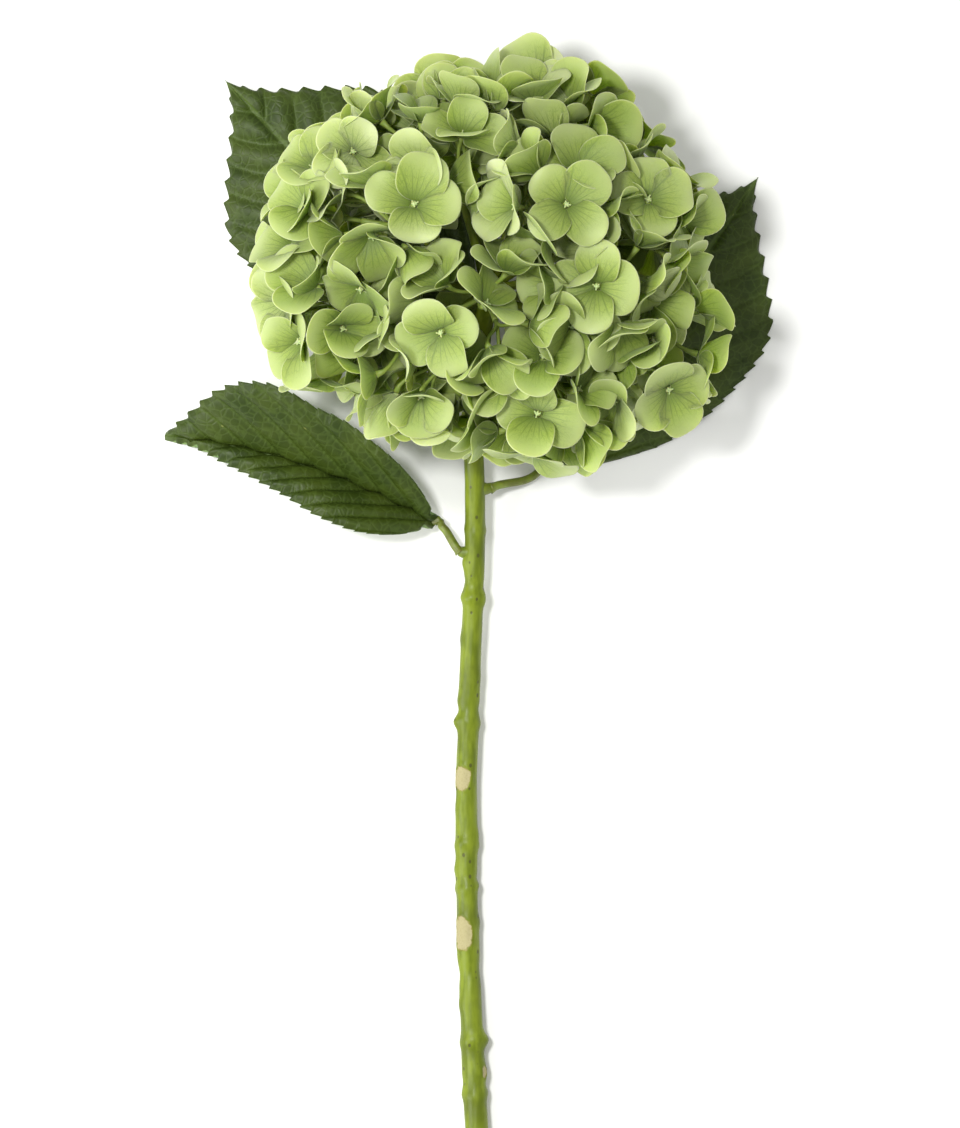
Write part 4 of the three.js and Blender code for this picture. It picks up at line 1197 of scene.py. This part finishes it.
class Paint:
    """A material and its nodes."""

    def __init__(self, name, **constants):
        self.material = bpy.data.materials.new(name)
        self.material.use_nodes = True
        self.tree = self.material.node_tree
        self.shader = next(node for node in self.tree.nodes if node.type == "BSDF_PRINCIPLED")
        for socket, value in constants.items():
            self.shader.inputs[socket.replace("_", " ")].default_value = value

    def node(self, kind, settings=None, values=None, output=0):
        """Adds a node: its settings are set first, then the values or wires of its sockets.
        output names the socket given back, or several."""
        made = self.tree.nodes.new(kind)
        for name, value in (settings or {}).items():
            setattr(made, name, value)
        for name, value in (values or {}).items():
            if isinstance(value, Wire):
                self.tree.links.new(value.socket, made.inputs[name])
            else:
                made.inputs[name].default_value = value
        if isinstance(output, tuple):
            return [Wire(self, made.outputs[each]) for each in output]
        return Wire(self, made.outputs[output])

    def maths(self, operation, *values):
        """Adds a Math node."""
        return self.node("ShaderNodeMath", {"operation": operation}, dict(enumerate(values)))

    def stretched(self, place, scales):
        """A place with each of its axes scaled."""
        return self.node("ShaderNodeVectorMath", {"operation": "MULTIPLY"}, {0: place, 1: scales})

    def net(self, place, scale, randomness):
        """The distance from the edges of a net of cells."""
        values = {"Vector": place, "Scale": scale, "Randomness": randomness}
        return self.node("ShaderNodeTexVoronoi", {"feature": "DISTANCE_TO_EDGE"}, values, "Distance")

    def step(self, value, low, high):
        """0 below low, 1 above high, and smooth between; high may be the smaller."""
        settings = {"interpolation_type": "SMOOTHSTEP"}
        if low < high:
            values = {"Value": value, "From Min": low, "From Max": high}
            return self.node("ShaderNodeMapRange", settings, values)
        return 1 - self.step(value, high, low)

    def mix(self, share, a, b):
        """Colour a where share is 0 and b where it is 1."""
        a, b = (value if isinstance(value, Wire) else (*value, 1.0) for value in (a, b))
        return self.node("ShaderNodeMix", {"data_type": "RGBA"}, {0: share, 6: a, 7: b}, 2)

    def noise(self, place, scale, detail=2.0):
        """A smooth noise between 0 and 1."""
        values = {"Vector": place, "Scale": scale, "Detail": detail}
        return self.node("ShaderNodeTexNoise", {}, values, "Fac")

    def vector(self, x, y, z):
        return self.node("ShaderNodeCombineXYZ", {}, {"X": x, "Y": y, "Z": z})

    def flat(self):
        """The three numbers that the mesh holds for its material."""
        place = self.node("ShaderNodeAttribute", {"attribute_name": "flat"}, output="Vector")
        return self.node("ShaderNodeSeparateXYZ", {}, {"Vector": place}, ("X", "Y", "Z"))

    def tone(self):
        """The one number that the mesh holds for its material."""
        return self.node("ShaderNodeAttribute", {"attribute_name": "tone"}, output="Fac")

    def place(self):
        return self.node("ShaderNodeTexCoord", output="Object")

    def feed(self, socket, wire):
        """Leads a wire to a socket of the surface."""
        self.tree.links.new(wire.socket, self.shader.inputs[socket])

    def bump(self, height, strength, depth):
        values = {"Height": height, "Strength": strength, "Distance": depth}
        self.feed("Normal", self.node("ShaderNodeBump", {}, values, "Normal"))


def sepal_paint(s):
    """Soft pale green, darker and finely veined towards the heart, with a thin pale rim."""
    paint = Paint("sepal", Roughness=0.5, Subsurface_Weight=0.36, Subsurface_Scale=0.0035,
                  Subsurface_Radius=(0.8, 1.0, 0.2), Specular_IOR_Level=0.42, Sheen_Weight=0.08)
    along, aside, ring = paint.flat()
    tone = paint.tone()
    place = paint.place()
    drift = paint.noise(place, 160.0, 3.0)
    cloud = paint.noise(place, 45.0)
    angle = paint.maths("ARCTAN2", aside, along + 0.1)
    reach = along + 0.12 * (drift - 0.5)

    def fan(count, width, wobble):
        """Lines that spread from the heart."""
        turn = angle * (count / math.pi) + wobble * (drift - 0.5) + 0.5
        away = paint.maths("PINGPONG", turn, 0.5)
        return paint.step(away, width, 0.0)

    branching = paint.vector(angle * 2.2, along * 1.1, tone * 7.0)
    fine = paint.step(paint.net(branching, 7.5, 0.9), 0.09, 0.0) * paint.step(reach, 0.95, 0.35)
    main = fan(9, 0.16, 0.5) * paint.step(reach, 0.8, 0.3)
    veins = paint.maths("MAXIMUM", main, fine * 0.7)
    colour = paint.mix(paint.step(reach, 0.04, 0.46), s.inner, s.middle)
    colour = paint.mix(paint.step(reach, 0.4, 1.0), colour, s.outer)
    colour = paint.mix(paint.step(tone + (cloud - 0.5), 0.15, 1.3) * 0.75, colour, s.pale)
    colour = paint.mix(paint.step(tone + (cloud - 0.5), -0.1, -1.3) * 0.7, colour, s.dark)
    colour = paint.mix(veins * 0.6, colour, s.vein)
    colour = paint.mix(paint.step(ring, 0.945, 0.99) * 0.6, colour, s.rim)
    paint.feed("Base Color", colour)
    paint.feed("Roughness", 0.44 + 0.16 * drift)
    paint.bump(1 - veins * 0.8 + drift * 0.35, 0.35, 0.25 * MM)
    return paint.material


def heart_paint(s):
    """The grainy pale star in the middle of a floret."""
    paint = Paint("heart", Roughness=0.5, Subsurface_Weight=0.15, Subsurface_Scale=0.002)
    place = paint.place()
    grain = paint.noise(place, 900.0)
    paint.feed("Base Color", paint.mix(grain, s.heart, s.heart_grain))
    paint.bump(grain, 0.4, 0.15 * MM)
    return paint.material


STALK_SPOTS = tint("4c6120")


def green_stalk_paint(name, light, dark, roughness):
    """Slim stalks: soft streaks along them and a little unevenness."""
    paint = Paint(name, Roughness=roughness, Subsurface_Weight=0.1, Subsurface_Scale=0.002)
    place = paint.place()
    streak = paint.noise(place, 240.0, 4.0)
    spots = paint.step(paint.noise(place, 700.0, 1.0), 0.68, 0.75)
    colour = paint.mix(paint.step(streak, 0.3, 0.7), light, dark)
    paint.feed("Base Color", paint.mix(spots * 0.4, colour, STALK_SPOTS))
    paint.feed("Roughness", roughness + 0.15 * streak)
    paint.bump(streak, 0.3, 0.3 * MM)
    return paint.material


def blade_paint(s):
    """Deep satin green with lighter veins and a fine net between them, paler below."""
    paint = Paint("blade", Specular_IOR_Level=0.22)
    along, aside, veins = paint.flat()
    top = paint.tone()
    sheet = paint.vector(along, aside, 0.0)
    patches = paint.noise(sheet, 60.0, 4.0)
    fine = paint.noise(sheet, 420.0, 3.0)
    cells = paint.step(paint.net(sheet, 330.0, 0.85), 0.14, 0.0)
    rib = paint.step(paint.maths("ABSOLUTE", aside), 1.1 * MM, 0.35 * MM)
    lines = paint.maths("MAXIMUM", rib, veins)
    colour = paint.mix(paint.step(patches, 0.3, 0.72), s.dark, s.top)
    colour = paint.mix(cells * 0.22, colour, s.vein)
    colour = paint.mix(lines * 0.55, colour, s.vein)
    flecks = paint.step(paint.noise(sheet, 150.0, 1.0), 0.79, 0.82)
    colour = paint.mix(flecks * 0.7, colour, s.fleck)
    below = paint.mix(paint.step(patches, 0.3, 0.7), s.under, s.under_light)
    below = paint.mix(paint.maths("MAXIMUM", lines, cells * 0.5) * 0.6, below, s.under_vein)
    paint.feed("Base Color", paint.mix(top, below, colour))
    paint.feed("Roughness", 0.62 - 0.24 * top + 0.14 * fine)
    paint.bump(fine * 0.5 - cells * 0.5 - lines * 0.3, 0.5, 0.3 * MM)
    return paint.material


def stem_paint(s):
    """Glossy yellow-green skin with streaks, dark flecks and cream healed scars."""
    paint = Paint("stem_skin", Specular_IOR_Level=0.26)
    mark = paint.tone()
    place = paint.place()
    streak = paint.noise(paint.stretched(place, (1.0, 0.22, 1.0)), 420.0, 4.0)
    patches = paint.noise(place, 60.0, 3.0)
    grain = paint.noise(place, 1500.0, 3.0)
    colour = paint.mix(paint.step(streak + 0.5 * patches, 0.55, 0.95), s.skin, s.bright)
    colour = paint.mix(paint.step(patches, 0.5, 0.3) * 0.4, colour, s.deep)
    values = {"Vector": paint.stretched(place, (1.0, 0.7, 1.0)), "Scale": 400.0}
    specks = paint.node("ShaderNodeTexVoronoi", {"feature": "F1"}, values, ("Distance", "Color"))
    chosen = paint.node("ShaderNodeSeparateColor", {}, {"Color": specks[1]}, "Red")
    dots = paint.step(specks[0], 0.27, 0.16) * paint.step(chosen, 0.6, 0.62)
    colour = paint.mix(dots * 0.85, colour, s.fleck)
    edge = mark + 0.3 * (paint.noise(place, 900.0) - 0.5) + 0.6 * (paint.noise(place, 330.0, 1.0) - 0.5)
    halo = paint.step(edge, 0.36, 0.5) * paint.step(edge, 1.45, 1.3)
    scar = paint.step(edge, 0.46, 0.56)
    woody = paint.mix(paint.step(grain, 0.45, 0.75) * 0.5, s.scar, s.scar_dark)
    colour = paint.mix(halo * 0.6, colour, s.scar_edge)
    colour = paint.mix(scar, colour, woody)
    paint.feed("Base Color", colour)
    paint.feed("Roughness", 0.3 + 0.2 * streak + 0.3 * scar)
    paint.bump(streak * 0.5 + grain * 0.25 - dots * 0.6, 0.45, 0.3 * MM)
    return paint.material


def floor_paint(s):
    """A plain floor with a hardly visible unevenness."""
    paint = Paint("floor", Roughness=0.9)
    cloud = paint.noise(paint.place(), 30.0) * 0.02
    paint.feed("Base Color", paint.mix(cloud, s.floor, (0.8, 0.8, 0.8)))
    return paint.material


# ---- Operators -----------------------------------------------------------------------------------

FLOOR_REACH = 4.0  # from the middle of the floor to its edges
# The widths of the lights, and their places beside the middle of the plant
KEY_SIZE, KEY_PLACE = 0.24, (-0.4, 0.26, 1.5)
FILL_SIZE, FILL_PLACE = 1.2, (-1.6, -0.45, 1.0)
AIM_SHARE = (0.513, 0.582)  # where the camera looks, as shares of the plant's box
FAR = 20.0


class HYDRANGEA_OT_leaves(bpy.types.Operator):
    """Make the three leaves with their teeth, veins and stalks"""

    bl_idname = "hydrangea.leaves"
    bl_label = "Leaves"

    def execute(self, context):
        settings = context.scene.hydrangea_leaf
        petiole = green_stalk_paint("petiole", settings.petiole, settings.petiole_dark, 0.38)
        materials = [blade_paint(settings), petiole]
        for node in LEAVES:
            made = leaf_piece(node, settings, materials)
            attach(made, BODY)
            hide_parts(node)
        return {"FINISHED"}


class HYDRANGEA_OT_stem(bpy.types.Operator):
    """Make the stem with its growth rings, scars, nubs and the rays inside the head"""

    bl_idname = "hydrangea.stem"
    bl_label = "Stem"

    def execute(self, context):
        settings = context.scene.hydrangea_stem
        ray_paint = green_stalk_paint("ray", settings.bright, settings.skin, 0.4)
        materials = [stem_paint(settings), ray_paint]
        made = stem_piece(settings, materials)
        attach(made, BODY)
        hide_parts("stem")
        return {"FINISHED"}


class HYDRANGEA_OT_florets(bpy.types.Operator):
    """Make the cymes of florets, whose sepals grow until they meet their neighbours"""

    bl_idname = "hydrangea.florets"
    bl_label = "Florets"

    def execute(self, context):
        settings = context.scene.hydrangea_floret
        fork = fork_place()
        cymes = [read_cyme(node, fork) for node in CYMES]
        florets = []
        for cyme in cymes:
            cyme["rows"] = list(range(len(florets), len(florets) + len(cyme["florets"])))
            florets.extend(cyme["florets"])
        head = Head(florets, settings)
        settle(head)
        body, flat = sepal_bodies(head, settings)
        faces = sepal_faces()
        pedicel_paint = green_stalk_paint("pedicel", settings.pedicel, settings.middle, 0.45)
        materials = [sepal_paint(settings), heart_paint(settings), pedicel_paint]
        for cyme in cymes:
            made = florets_of(cyme, head, body, flat, faces, settings, materials)
            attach(made, BODY)
            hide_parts(cyme["node"])
        return {"FINISHED"}


class HYDRANGEA_OT_stage(bpy.types.Operator):
    """Set up the pale floor, the soft lights and the camera that looks down on the plant"""

    bl_idname = "hydrangea.stage"
    bl_label = "Stage"

    def execute(self, context):
        settings = context.scene.hydrangea_stage
        scene = context.scene
        floor = Skin()
        corners = [(FLOOR_REACH * x, FLOOR_REACH * y, 0) for x, y in ((-1, -1), (1, -1), (1, 1), (-1, 1))]
        floor.add(np.array(corners, float), [(0, 1, 2, 3)])
        floor.make("floor", [floor_paint(settings)])
        world = bpy.data.worlds.new("sky")
        world.use_nodes = True
        background = world.node_tree.nodes["Background"]
        background.inputs["Color"].default_value = (1, 1, 1, 1)
        background.inputs["Strength"].default_value = settings.sky
        scene.world = world
        low, high = CAD_BOX
        middle = Vector((low + high) / 2)
        self.add_light(scene, "key", KEY_SIZE, settings.key_power, middle, KEY_PLACE)
        self.add_light(scene, "fill", FILL_SIZE, settings.fill_power, middle, FILL_PLACE)
        camera = bpy.data.cameras.new("camera")
        camera.sensor_fit = "VERTICAL"
        camera.angle = 2 * math.atan(settings.view_height / 2 / settings.view_distance)
        camera.clip_end = FAR
        eye = bpy.data.objects.new("camera", camera)
        aim = self.aim(low, high)
        eye.location = aim + Vector((0, 0, settings.view_distance))
        scene.collection.objects.link(eye)
        scene.camera = eye
        scene.view_settings.view_transform = "Standard"
        return {"FINISHED"}

    def aim(self, low, high):
        """The point under the camera: beside the middle line, and well above the cut end."""
        head_low, head_high = head_box()
        x, y = (blend(low[axis], high[axis], AIM_SHARE[axis]) for axis in (0, 1))
        return Vector((x, y, (head_low[2] + head_high[2]) / 2))

    def add_light(self, scene, name, size, power, target, offset):
        """A round soft light that stands off from its target and faces it."""
        light = bpy.data.lights.new(name, "AREA")
        light.shape = "DISK"
        light.size = size
        light.energy = power
        lamp = bpy.data.objects.new(name, light)
        lamp.location = target + Vector(offset)
        lamp.rotation_euler = (target - lamp.location).to_track_quat("-Z", "Y").to_euler()
        scene.collection.objects.link(lamp)


class HYDRANGEA_PT_panel(bpy.types.Panel):
    """Lists what makes the hydrangea"""

    bl_label = "Cut hydrangea"
    bl_idname = "HYDRANGEA_PT_panel"
    bl_space_type = "VIEW_3D"
    bl_region_type = "UI"
    bl_category = "Hydrangea"

    def draw(self, context):
        operators = {"leaf": "leaves", "stem": "stem", "floret": "florets", "stage": "stage"}
        for group, operator in operators.items():
            column = self.layout.column()
            settings = getattr(context.scene, "hydrangea_" + group)
            for name in settings.__annotations__:
                column.prop(settings, name)
            column.operator("hydrangea." + operator)


SETTINGS = {"floret": FloretSettings, "leaf": LeafSettings, "stem": StemSettings, "stage": StageSettings}
CLASSES = (*SETTINGS.values(), HYDRANGEA_OT_leaves, HYDRANGEA_OT_stem, HYDRANGEA_OT_florets,
           HYDRANGEA_OT_stage, HYDRANGEA_PT_panel)


def register():
    for each in CLASSES:
        bpy.utils.register_class(each)
    for name, group in SETTINGS.items():
        setattr(bpy.types.Scene, "hydrangea_" + name, PointerProperty(type=group))


def unregister():
    for name in SETTINGS:
        delattr(bpy.types.Scene, "hydrangea_" + name)
    for each in reversed(CLASSES):
        bpy.utils.unregister_class(each)


def main():
    register()
    bpy.ops.hydrangea.leaves()
    bpy.ops.hydrangea.stem()
    bpy.ops.hydrangea.florets()
    bpy.ops.hydrangea.stage()
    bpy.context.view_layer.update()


if __name__ == "__main__":
    main()
